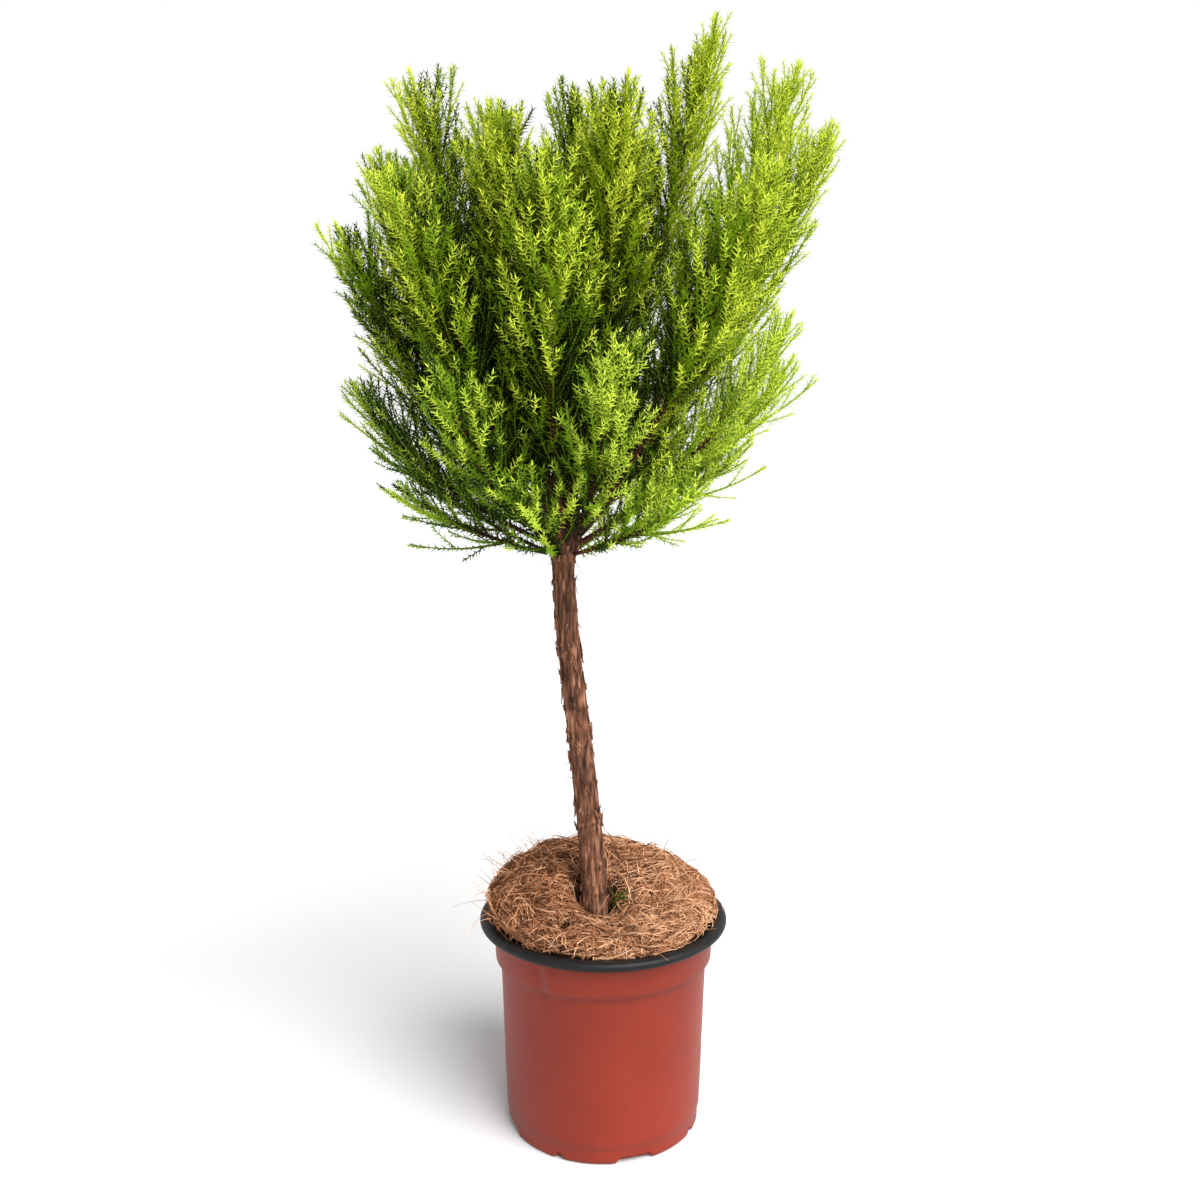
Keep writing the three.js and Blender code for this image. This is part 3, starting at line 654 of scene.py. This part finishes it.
def moss_tuft():
    """Short upright blades of moss on the mat beside the stem."""
    rng = np.random.default_rng(26)
    n = MOSS["count"]
    root = rng.normal(0, MOSS["spread"], (n, 2)) * [1, 0.7] + [MOSS["x"], MOSS["y"]]
    root = np.column_stack([root, mat_top(root[:, 0], root[:, 1]) + 1])
    lean = unit(rng.normal(0, 0.5, (n, 3)) * [1, 1, 0] + UP)
    s = np.linspace(0, 1, 4)[None, :, None]
    length = random_lengths(rng, MOSS)[:, None, None]
    droop = rng.normal(0, 0.2, (n, 1, 3))
    paths = root[:, None] + length * (lean[:, None] * s + droop * s**2)
    radii = MOSS["thick"] * (1 - 0.8 * s[..., 0] ** 2) + np.zeros((n, 1))
    return tubes(paths, radii, radii * 0.6, 4)


def mat_crumbs():
    """Dark chips of bark and mix that lie in the fibres."""
    rng = np.random.default_rng(27)
    n = CRUMBS["count"]
    turn = rng.uniform(0, 2 * math.pi, n)
    rho = MAT["radius"] * np.sqrt(rng.uniform(0.08, 0.9, n))
    heading = rng.uniform(0, math.pi, n)
    length = random_lengths(rng, CRUMBS)[:, None]
    s = np.linspace(-0.5, 0.5, 4)[None]
    x = (rho * np.cos(turn))[:, None] + length * s * np.cos(heading)[:, None]
    y = (rho * np.sin(turn))[:, None] + length * s * np.sin(heading)[:, None]
    z = mat_top(x, y) + rng.uniform(0.8, 2.8, n)[:, None]
    wide = rng.uniform(CRUMBS["thin"], CRUMBS["thick"], n)[:, None] * (1 - 0.7 * np.abs(2 * s) ** 2)
    return tubes(np.stack([x, y, z], axis=-1), wide, wide * 0.5, 5)


# ---- trunk ----


def trunk_centre(z):
    """The middle of the stem at each height."""
    share = np.clip((z - TRUNK["lean_from"]) / (TRUNK["fork"] - TRUNK["lean_from"]), 0, 1)
    lean = TRUNK["lean_x"] * share * share * (3 - 2 * share)
    bow = TRUNK["bow_y"] * np.sin(math.pi * share)
    return np.stack([TRUNK["foot_x"] + lean, bow, z + 0 * share], axis=-1)


def trunk_radius(z):
    """The stem's radius under its bark: a taper, the flare at its foot and the swollen head."""
    up = z - MIX_TOP
    taper = lerp(TRUNK_RADIUS["low"], TRUNK_RADIUS["high"], up / (TRUNK["fork"] - MIX_TOP))
    flare = TRUNK_RADIUS["flare"] * np.exp(-up / TRUNK_RADIUS["flare_height"])
    from_head = z - TRUNK_HEAD["height"]
    swell = TRUNK_HEAD["swell"] * np.exp(-((from_head / TRUNK_HEAD["span"]) ** 2))
    dome = np.maximum(0, from_head) / (TRUNK["top"] + 0.4 - TRUNK_HEAD["height"])
    return (taper + flare + swell) * np.sqrt(np.maximum(0, 1 - dome**2))


RING_MARKS = (148, 171, 189, 214, 238, 262, 279, 301, 318, 337, 349)  # heights
RING_MARK = dict(depth=0.75, half=1.1, wander=1.6)
# the knots' heights and bearings
KNOTS = [
    (137, 250), (163, 300), (196, 232), (226, 318), (247, 210),
    (272, 296), (293, 240), (323, 330), (341, 262),
]
KNOT = dict(height=1.3, spread=5, on_radius=7)
# each layer of relief: its height, how many cells there are round the stem, their height and the seed
STRIPS = (0.3, 26, 15, 1)
FIBRES = (0.2, 60, 5, 2)
LUMPS = (0.3, 4, 18, 3)
CRACKS = (-0.6, 18, 7, 4)
BARK_WANDER = (0.12, 3, 30, 7)


def bark_layer(turn, z, kind, least=-1):
    """One layer of relief. With a least value above 0, only what stands above that counts."""
    height, cells_round, cell_height, seed = kind
    pattern = round_noise(turn, z, cells_round, cell_height, seed)
    return height * (np.maximum(pattern, least) - max(least, 0))


def bark_relief(turn, z):
    """How far the bark stands off the smooth stem: fibrous strips, cracks, ring marks and knots."""
    wander = turn + bark_layer(turn, z, BARK_WANDER)
    relief = bark_layer(wander, z, STRIPS) + bark_layer(wander, z, FIBRES) + bark_layer(turn, z, LUMPS)
    relief = relief + bark_layer(wander, z, CRACKS, least=0.35)
    for index, height in enumerate(RING_MARKS):
        line = height + RING_MARK["wander"] * np.sin(turn + index)
        part = np.clip(0.6 + np.cos(turn - 2.4 * index), 0, 1)
        relief = relief + RING_MARK["depth"] * part * np.exp(-(((z - line) / RING_MARK["half"]) ** 2))
    for height, bearing in KNOTS:
        off = np.angle(np.exp(1j * (turn - math.radians(bearing)))) * KNOT["on_radius"]
        relief = relief + KNOT["height"] * np.exp(-((off**2 + (z - height) ** 2) / KNOT["spread"]))
    return relief


def trunk_surface(turn, z, off=0.0):
    """Points on the bark."""
    fade = np.clip((TRUNK["top"] - z) / 6, 0.2, 1)
    radius = trunk_radius(z) + bark_relief(turn, z) * fade + off
    return trunk_centre(z) + bearing_vector(np.degrees(turn)) * radius[..., None]


def trunk_mesh(segments=96, step=0.9):
    heights = np.append(np.arange(GROUND, TRUNK["top"], step), TRUNK["top"])
    turn = 2 * math.pi * np.arange(segments) / segments
    z, turn = np.meshgrid(heights, turn, indexing="ij")
    points = trunk_surface(turn, z)
    return points.reshape(-1, 3), [grid_faces(len(heights), segments), cap_faces(len(heights), segments)]


FLAKES = dict(count=170, shortest=3, longest=11, curl=1.8, heights=(130, 352), thick=0.16)
THREADS = dict(count=46, shortest=4, longest=13, heights=(135, 350), near_head=(336, 354), thick=0.17)


def bark_flakes():
    """Thin strips that peel off the bark at one end."""
    rng = np.random.default_rng(23)
    n = FLAKES["count"]
    z0 = rng.uniform(*FLAKES["heights"], n)
    turn = rng.uniform(0, 2 * math.pi, n)
    length = random_lengths(rng, FLAKES)
    length = length * np.where(rng.uniform(0, 1, n) < 0.5, -1, 1)
    s = np.linspace(0, 1, 6)
    z = z0[:, None] + length[:, None] * s
    turns = turn[:, None] + rng.normal(0, 0.25, n)[:, None] * s
    lifted = rng.uniform(0.2, 1, n)[:, None] * FLAKES["curl"] * s**2.2
    paths = trunk_surface(turns, z, 0.15 + lifted)
    wide = rng.uniform(0.5, 1.3, n)[:, None] * (1 - 0.6 * s**2)
    return tubes(paths, wide, 0 * wide + FLAKES["thick"], 4)


def bark_threads():
    """Loose hair-like threads of bark."""
    rng = np.random.default_rng(24)
    n, k = THREADS["count"], 8
    at_head = rng.uniform(0, 1, n) < 0.35
    z0 = np.where(at_head, rng.uniform(*THREADS["near_head"], n), rng.uniform(*THREADS["heights"], n))
    turn = rng.uniform(0, 2 * math.pi, n)
    start = trunk_surface(turn, z0)
    out = bearing_vector(np.degrees(turn + rng.normal(0, 0.5, n)))
    length = random_lengths(rng, THREADS)
    s = np.linspace(0, 1, k)[None, :, None]
    curl = rng.normal(0, 1, (n, 1, 3))
    rise = rng.normal(-0.2, 0.5, n)[:, None, None] * UP
    way = out[:, None] * s * 0.55 + rise * s + 0.3 * curl * s**2
    paths = start[:, None] + length[:, None, None] * way
    radii = np.full((n, k), THREADS["thick"]) * (1 - 0.5 * s[..., 0])
    return tubes(paths, radii, radii, 3)


# ---- crown: curves ----
# Every limb, spray and shoot is a quadratic curve: an array (n, 3, 3) of its start, bend and tip.


def points_on(curves, t):
    """The points of each curve at its own shares t, an array (n, k)."""
    a, b, c = curves[:, None, 0], curves[:, None, 1], curves[:, None, 2]
    t = t[..., None]
    return (1 - t) ** 2 * a + 2 * t * (1 - t) * b + t * t * c


def tangents_on(curves, t):
    a, b, c = curves[:, None, 0], curves[:, None, 1], curves[:, None, 2]
    t = t[..., None]
    return unit((1 - t) * (b - a) + t * (c - b))


def lengths_of(curves, steps=24):
    """The length of each curve."""
    t = np.linspace(0, 1, steps)[None] + np.zeros((len(curves), 1))
    return np.linalg.norm(np.diff(points_on(curves, t), axis=1), axis=-1).sum(axis=1)


def limb_curve(ring, plume, number):
    """The curve from the trunk's head to a plume's tip."""
    bearing, spread, rise = plume
    out = bearing_vector(bearing)
    start = trunk_centre(np.float64(ring["seat"][1])) + out * ring["seat"][0]
    tip = trunk_centre(np.float64(TRUNK["fork"])) + out * spread + UP * rise
    bend = lerp(start, tip, ring["arch"][0])
    bend[2] = lerp(start[2], tip[2], ring["arch"][1])
    bend = bend + bearing_vector(bearing + 90) * LIMB["sway"] * (2 * chance(number, 5) - 1)
    return np.stack([start, bend, tip])


def crown_limbs():
    """The limbs of every ring, as one table of arrays."""
    plumes = [(ring, plume) for ring in RINGS for plume in ring["plumes"]]
    same = ("bough", "base", "reach", "seed", "group")
    limbs = {key: np.array([ring[key] for ring, _ in plumes]) for key in same}
    limbs["sprays"] = np.array([ring["sprays"] * ring["finer"] for ring, _ in plumes])
    limbs["number"] = np.arange(len(plumes))
    limbs["curve"] = np.array([limb_curve(ring, plume, i) for i, (ring, plume) in enumerate(plumes)])
    limbs["length"] = lengths_of(limbs["curve"])
    return limbs


def twigs_on(parents, counts, rule, reach, start_share, turn_row):
    """The twigs that the seeded rule grows on each parent: the same rule for sprays and for shoots."""
    who = np.repeat(np.arange(len(counts)), counts)
    j = np.arange(len(who)) - np.repeat(np.cumsum(counts) - counts, counts)
    number = parents["number"][who]
    share = lerp(rule["first"], rule["last"], (j + 0.5) / counts[who])
    t = lerp(start_share[who], 1, share)
    curves = parents["curve"][who]
    tangent = tangents_on(curves, t[:, None])[:, 0]
    turn = np.radians(rule["turn"] * j + 360 * chance(parents["number"], turn_row)[who])
    wobble = 8 * (chance(number, 10 + j) - 0.5)
    angle = np.radians(lerp(rule["wide_angle"], rule["tip_angle"], share) + wobble)
    axis = outwards(tangent, turn) * np.sin(angle)[:, None] + tangent * np.cos(angle)[:, None]
    axis = unit(axis + UP * (rule["lift"] * np.sin(angle))[:, None])
    pointed = lerp(*rule["pointed"], chance(number, 90 + j))
    to_tip = pointed * parents["length"][who] * (1 - t) / np.cos(angle)
    length = np.minimum(reach[who] * (0.85 + 0.3 * chance(number, 40 + j)), to_tip)
    root = points_on(curves, t[:, None])[:, 0]
    square = UP - axis * (axis @ UP)[:, None]
    tip = root + length[:, None] * unit(axis + rule["curl"] * square)
    curve = np.stack([root, root + axis * (length / 2)[:, None], tip], axis=1)
    return dict(curve=curve, length=length, number=number * 53.0 + j + 0.37, share=share, t=t, parent=who)


def kept(twigs, keep):
    """The rows of a table of twigs that are kept."""
    return {key: value[keep] for key, value in twigs.items()}


def together(*tables):
    """Several tables of twigs as one."""
    return {key: np.concatenate([twigs[key] for twigs in tables]) for key in tables[0]}


def clear_of_trunk(twigs):
    """Which twigs have their middle and their tip clear of the trunk and its head."""
    tip = points_on(twigs["curve"], np.array([[0.5, 1.0]]) + np.zeros((len(twigs["length"]), 1)))
    centre = trunk_centre(np.clip(tip[..., 2], GROUND, TRUNK["top"]))
    off = np.linalg.norm(tip - centre, axis=-1)
    return (off > trunk_radius(TRUNK_HEAD["height"]) + HEAD_GAP).all(axis=1)


# ---- crown: needles ----

NEEDLE_FACES = np.array([[0, 1, 3], [1, 2, 3], [2, 0, 3]])  # of its three base points and its tip


def needles_on(twigs, first, scale):
    """Needles in crossed pairs along twigs, closed up to a tuft at each tip: (points, faces, twig index)."""
    first = np.broadcast_to(first, twigs["length"].shape)
    count = np.maximum(2, (twigs["length"] * (1 - first) / NEEDLE["every"] * scale).astype(int))
    who = np.repeat(np.arange(len(count)), count * 2)
    index = np.arange(len(who)) - np.repeat(np.cumsum(count * 2) - count * 2, count * 2)
    pair, facing = index // 2, index % 2
    share = (pair + 0.6) / count[who]
    t = lerp(first[who], 1, np.minimum(share, 0.995))
    curves = twigs["curve"][who]
    number = twigs["number"][who]
    root = points_on(curves, t[:, None])[:, 0]
    tangent = tangents_on(curves, t[:, None])[:, 0]
    jitter = chance(number, index * 0.731 + 3)
    turn = math.pi * facing + math.pi / 2 * pair + 0.35 * pair + 0.7 * (jitter - 0.5) + number
    near_tip = np.clip((share - TUFT["from_share"]) / (1 - TUFT["from_share"]), 0, 1) ** 1.5
    angle = np.radians(lerp(NEEDLE["angle"], NEEDLE["tip_angle"], near_tip) + 16 * (jitter - 0.5))
    out = outwards(tangent, turn)
    if "skin" in twigs:
        root = root + out * lerp(twigs["skin"][who], 0.3, t)[:, None]
    axis = unit(out * np.sin(angle)[:, None] + tangent * np.cos(angle)[:, None])
    side = unit(np.cross(tangent, out))
    vary = 0.85 + 0.3 * chance(number, index * 1.37 + 9)
    length = NEEDLE["length"] * scale * vary * lerp(1, TUFT["length"], near_tip)
    width = NEEDLE["width"] * scale / 2
    back = np.cross(axis, side)
    back = back * np.sign((back * tangent).sum(axis=1))[:, None]
    base = [root + side * width, root - side * width, root - back * NEEDLE["thick"]]
    points = np.stack([*base, root + axis * length[:, None]], axis=1)
    a, b, c, tip = (points[:, i] for i in range(4))
    faces_out = (np.cross(b - a, c - a) * (tip - a)).sum(axis=1) > 0
    return points, np.where(faces_out[:, None, None], NEEDLE_FACES, NEEDLE_FACES[:, ::-1]), who


def tint_and_painted_light_of(limbs, twigs):
    """Which tint a twig's needles take: 0 deep, 1 mid, 2 light. Painted light is at the top, outside and
    right, painted shade inside.
    """
    tip = twigs["curve"][:, 2]
    steps = np.linspace(0, 1, 12)[None] + np.zeros((len(tip), 1))
    on_stem = points_on(limbs["curve"][twigs["limb"]], steps)
    apart = np.linalg.norm(on_stem - tip[:, None], axis=-1)
    away = unit(tip - on_stem[np.arange(len(tip)), apart.argmin(axis=1)])
    from_core = (tip - CROWN_CORE) * [1, 1, 0]
    side = away @ UP * 0.4 + (away * unit(from_core)).sum(axis=1)
    height = np.clip((tip[:, 2] - CROWN_SPAN["foot"]) / CROWN_SPAN["tall"], 0, 1)
    right = np.clip(tip[:, 0] / CROWN_SPAN["half_width"], -1, 1)
    crown_radius = CROWN_SPAN["radius"] + CROWN_SPAN["widening"] * np.sqrt(height)
    parts = dict(
        base=1, height=height, right=right, side=side,
        out=np.clip(np.linalg.norm(from_core, axis=1) / crown_radius, 0, 1.2),
        top=np.clip(height * 2.5 - 1.5, 0, 1),
        spray=chance(twigs["spray"], 3) - 0.5,
        own=chance(twigs["number"], 8) - 0.5,
    )
    score = twigs["depth"] + sum(TINT_AND_PAINTED_LIGHT_SCORE[part] * value for part, value in parts.items())
    low_down = limbs["group"][twigs["limb"]] == "low"
    score = score + (LOW_TINT_AND_PAINTED_LIGHT["base"] + LOW_TINT_AND_PAINTED_LIGHT["right"] * right) * low_down
    return np.digitize(score, TINT_STEPS)


# ---- crown: build ----

GROUPS = ("crest", "side", "low")
# deep is the painted shade and light the painted light of each group's green
TINT_NAMES = ("deep", "mid", "light")
STEM_WOOD = dict(brown_to=0.56, green_from=0.55, radius=1.0, tip=0.35)
SPRAY_WOOD = dict(brown_to=0.14, green_from=0.13, least=0.35, most=0.8, widening=140, tip=0.3)
SHOOT_RADII = (0.42, 0.2)


def nodes_of(group):
    """The CAD nodes of a group's masses."""
    rings = [ring["name"] for ring in RINGS if ring["group"] == group]
    return sorted(n for n in frame["nodes"] if n.startswith("foliage") and n.split("_")[1] in rings)


def tapered(curves, shares, radii, steps, sides):
    """Round tubes along part of each curve: the shares and the radii at its start and its end."""
    u = np.linspace(0, 1, steps)[None]
    start, end, wide, narrow = (np.broadcast_to(v, len(curves))[:, None] for v in (*shares, *radii))
    radius = lerp(wide, narrow, u)
    return tubes(points_on(curves, lerp(start, end, u)), radius, radius, sides)


def bough_mesh(limbs, steps=44, sides=14):
    """The bare boughs, with the bark's relief, from inside the trunk's head to where a mass starts."""
    parts = []
    for i in np.flatnonzero(limbs["bough"] > 0):
        curve, end, base = limbs["curve"][i : i + 1], limbs["bough"][i] + 0.02, limbs["base"][i]
        t = np.linspace(0, end, steps)[None]
        path = points_on(curve, t)
        root = path[:, :1] - tangents_on(curve, t[:, :1]) * LIMB["root"]
        path = np.concatenate([root, path], axis=1)
        radius = lerp(base, base * LIMB["taper"], np.append(0, np.linspace(0, 1, steps)))[None]
        points, faces = tubes(path, radius, radius, sides)
        rows = points.reshape(-1, sides, 3)
        centre = path[0][:, None]
        turn = 2 * math.pi * np.arange(sides) / sides
        along = np.linspace(0, limbs["length"][i] * end, steps + 1)
        along, turn = np.meshgrid(along, turn, indexing="ij")
        relief = 0.1 * round_noise(turn, along, 9, 5, i) + 0.09 * round_noise(turn, along, 5, 1.6, i + 40)
        rows = centre + (rows - centre) * (1 + relief[..., None])
        parts.append((rows.reshape(-1, 3), faces))
    return joined(parts)


def crown_sprays(limbs):
    """All sprays: the CAD's, made finer, then short ones on the boughs, then the long single twigs."""
    reach, start = limbs["reach"], np.zeros(len(limbs["number"]))
    sprays = twigs_on(limbs, limbs["sprays"], SPRAY, reach, limbs["bough"], limbs["seed"])
    counts = np.where(limbs["bough"] > 0, LOW_SPRAYS["usual"], 0)
    counts[BARE_BOUGHS] = LOW_SPRAYS["bare"]
    low = twigs_on(limbs, counts, LOW_SPRAY, reach, start, TURN_ROW["low"])
    low["number"] += NUMBER_SHIFT["low"]
    counts = np.where(limbs["group"] == "low", STRAYS["count"], 0)
    stray = twigs_on(limbs, counts, STRAY, start + STRAYS["reach"], start, TURN_ROW["stray"])
    stray["number"] += NUMBER_SHIFT["stray"]
    for twigs in (sprays, low):
        twigs["apart"] = np.array([SHOOT_SPACING[group] for group in limbs["group"][twigs["parent"]]])
    stray["apart"] = np.full(len(stray["length"]), SHOOT_SPACING["stray"])
    sprays = together(sprays, low, stray)
    sprays["limb"] = sprays.pop("parent")
    sprays["depth"] = DEPTH["along"] * sprays["t"] + DEPTH["spray"]
    sprays["spray"] = sprays["number"]
    return kept(sprays, clear_of_trunk(sprays) & (sprays["length"] > SHORTEST_SHOOT * 2))


def crown_shoots(limbs, sprays):
    """The shoots, on every spray and on the outer part of every stem."""
    counts = np.maximum(1, (sprays["length"] / sprays["apart"]).astype(int))
    reach = SHOOT_REACH["least"] + SHOOT_REACH["of_spray"] * sprays["length"]
    reach = np.minimum(SHOOT_REACH["most"], reach)
    shoots = twigs_on(sprays, counts, SHOOT, reach, np.zeros(len(counts)), TURN_ROW["shoot"])
    spray = shoots["parent"]
    shoots["limb"] = sprays["limb"][spray]
    shoots["depth"] = DEPTH["along"] * sprays["t"][spray] + DEPTH["shoot"] * shoots["share"]
    shoots["spray"] = sprays["number"][spray]

    start = np.maximum(limbs["bough"], 0.1)
    counts = (limbs["length"] * (1 - start) / SHOOT_SPACING["stem"]).astype(int)
    reach = np.full(len(start), SHOOT_REACH["on_stems"])
    tips = twigs_on(limbs, counts, SHOOT, reach, start, TURN_ROW["on_stems"])
    tips["limb"] = tips["parent"]
    tips["depth"] = DEPTH["along"] * tips["t"] + DEPTH["on_stems"]
    tips["spray"] = limbs["number"][tips["parent"]] + 0.5 + np.floor(tips["t"] * 8)
    shoots = together(shoots, tips)
    return kept(shoots, shoots["length"] > SHORTEST_SHOOT)


def crown_stems(limbs):
    """The stems as twigs that carry needles, which root on their skin."""
    number, has_bough = limbs["number"], limbs["bough"] > 0
    return dict(
        curve=limbs["curve"], length=limbs["length"], number=number + 0.11, limb=number, spray=number + 0.9,
        depth=np.where(has_bough, DEPTH["bough"], DEPTH["stem"]),
        skin=np.where(has_bough, limbs["base"] * LIMB["taper"], limbs["base"]),
    )


def add_needles(limbs, stems, sprays, shoots):
    """The needles of every twig, joined by group and tint."""
    needles = {}
    stem_start = np.maximum(limbs["bough"], 0.05)
    kinds = ((stems, stem_start, NEEDLE["on_stems"]), (sprays, 0.06, 1), (shoots, 0.04, 1))
    for twigs, start, scale in kinds:
        points, faces, who = needles_on(twigs, start, scale)
        tint = tint_and_painted_light_of(limbs, twigs)
        group = limbs["group"][twigs["limb"]]
        for g in GROUPS:
            for k, name in enumerate(TINT_NAMES):
                mine = ((group == g) & (tint == k))[who]
                shape = faces[mine] + 4 * np.arange(mine.sum())[:, None, None]
                part = points[mine].reshape(-1, 3), [shape.reshape(-1, 3)]
                needles.setdefault((g, name), []).append(part)
    for (g, name), parts in needles.items():
        material = needle_green(f"needle_{g}_{name}", NEEDLE_GREENS_LIT_AND_SHADED[g][name])
        add_piece(f"needles_{g}_{name}", *joined(parts), material, f"foliage_{g}", nodes_of(g))


def add_twigs(limbs, stems, sprays, shoots):
    """The wood under the needles: stems and the roots of sprays in brown bark, the rest green."""
    stem_start = np.where(limbs["bough"] > 0, limbs["bough"] + 0.015, 0)
    wood, tip = STEM_WOOD, SPRAY_WOOD
    for g in GROUPS:
        mine = limbs["group"] == g
        curves = limbs["curve"][mine]
        shares = stem_start[mine], wood["brown_to"]
        brown = [tapered(curves, shares, (stems["skin"][mine], wood["radius"]), 20, 7)]
        green = [tapered(curves, (wood["green_from"], 1), (wood["radius"], wood["tip"]), 16, 5)]
        mine = mine[sprays["limb"]]
        curves = sprays["curve"][mine]
        width = np.clip(tip["least"] + sprays["length"][mine] / tip["widening"], tip["least"], tip["most"])
        brown.append(tapered(curves, (0, tip["brown_to"]), (width, width * 0.95), 3, 5))
        green.append(tapered(curves, (tip["green_from"], 1), (width * 0.96, tip["tip"]), 7, 4))
        mine = limbs["group"][shoots["limb"]] == g
        green.append(tapered(shoots["curve"][mine], (0, 1), SHOOT_RADII, 3, 3))
        nodes = nodes_of(g)
        add_piece(f"twigs_{g}_woody", *joined(brown), BOUGH_BARK, "bough_bark", nodes, smooth=True)
        material = needle_green(f"twig_{g}", np.multiply(0.85, NEEDLE_GREENS_LIT_AND_SHADED[g]["mid"]))
        add_piece(f"twigs_{g}_green", *joined(green), material, f"foliage_{g}", nodes, smooth=True)


def build_crown():
    limbs = crown_limbs()
    stems = crown_stems(limbs)
    sprays = crown_sprays(limbs)
    shoots = crown_shoots(limbs, sprays)
    add_needles(limbs, stems, sprays, shoots)
    add_twigs(limbs, stems, sprays, shoots)
    boughs = sorted(n for n in frame["nodes"] if n.startswith("bough"))
    add_piece("boughs_bark", *bough_mesh(limbs), BOUGH_BARK, "bough_bark", boughs, smooth=True)


# ---- assembly ----


def build_pot():
    add_piece("pot_shell", *pot_mesh(), TERRACOTTA, "terracotta_plastic", ["pot"], smooth=True)
    add_piece("pot_rolled_rim", *rim_mesh(), BLACK, "black_plastic", ["pot_rim"], smooth=True)
    for slot in frame["nodes"]["potting_mix"].material_slots:
        slot.material = SOIL


def build_mat():
    add_piece("coir_bed", *mat_mesh(), COIR_BED, "coir", ["coir_mat"], smooth=True)
    fibres = mat_fibres(), mat_wall_fibres(), mat_wisps()
    for index, name in enumerate(COIR_TINTS):
        parts = []
        for paths, radii, tint in fibres:
            mine = tint == index
            parts.append(tubes(paths[mine], radii[mine], radii[mine], 3))
        points, faces = joined(parts)
        add_piece(f"coir_fibres_{name}", points, faces, COIR_TINTS[name], "coir", ["coir_mat"])
    add_piece("coir_crumbs", *mat_crumbs(), SOIL, "coir", ["coir_mat"])
    add_piece("coir_moss", *moss_tuft(), MOSS_GREEN, "coir", ["coir_mat"], smooth=True)


def build_trunk():
    add_piece("trunk_bark", *trunk_mesh(), BARK, "bark", ["trunk"], smooth=True)
    points, faces = joined([bark_flakes(), bark_threads()])
    add_piece("trunk_flakes", points, faces, BARK, "bark", ["trunk"])


FLOOR = dict(half=9.0, whites=[(0.66, 0.66, 0.66, 1), (0.68, 0.68, 0.68, 1)])
# the sky is white up to the first height and grey from the second; a height is the sine of its angle
SKY = ((0.34, (1, 1, 1, 1)), (0.7, (0.42, 0.42, 0.42, 1)))
SUN = dict(energy=5.4, spread=48, tilt=44, turn=38)
CAMERA = dict(lens=39.54, sensor=36, place=(-0.002, -0.761, 0.460), tilt=80)


def build_floor():
    half = FLOOR["half"]
    mesh = bpy.data.meshes.new("floor")
    corners = [(-half, -half, 0), (half, -half, 0), (half, half, 0), (-half, half, 0)]
    mesh.from_pydata(corners, [], [(0, 1, 2, 3)])
    mesh.materials.append(mottled("floor_white", FLOOR["whites"], cells=2, roughness=0.8, specular=0.2))
    floor = placed("floor", mesh)


def build_light():
    world = bpy.data.worlds.new("studio")
    world.use_nodes = True
    nodes, links = world.node_tree.nodes, world.node_tree.links
    place = nodes.new("ShaderNodeTexCoord")
    apart = nodes.new("ShaderNodeSeparateXYZ")
    links.new(place.outputs["Generated"], apart.inputs["Vector"])
    ramp = nodes.new("ShaderNodeValToRGB")
    for element, (height, grey) in zip(ramp.color_ramp.elements, SKY):
        element.position = height
        element.color = grey
    links.new(apart.outputs["Z"], ramp.inputs["Fac"])
    links.new(ramp.outputs["Color"], nodes["Background"].inputs["Color"])
    bpy.context.scene.world = world
    light = bpy.data.lights.new("key", "SUN")
    light.energy = SUN["energy"]
    light.angle = math.radians(SUN["spread"])
    placed("key", light).rotation_euler = (math.radians(SUN["tilt"]), 0, math.radians(SUN["turn"]))


def build_camera():
    camera = bpy.data.cameras.new("camera")
    camera.lens = CAMERA["lens"]
    camera.sensor_width = CAMERA["sensor"]
    eye = placed("camera", camera)
    eye.location = CAMERA["place"]
    eye.rotation_euler = (math.radians(CAMERA["tilt"]), 0, 0)
    bpy.context.scene.camera = eye
    bpy.context.scene.view_settings.view_transform = "Standard"


build_pot()
build_mat()
build_trunk()
build_crown()
build_floor()
build_light()
build_camera()
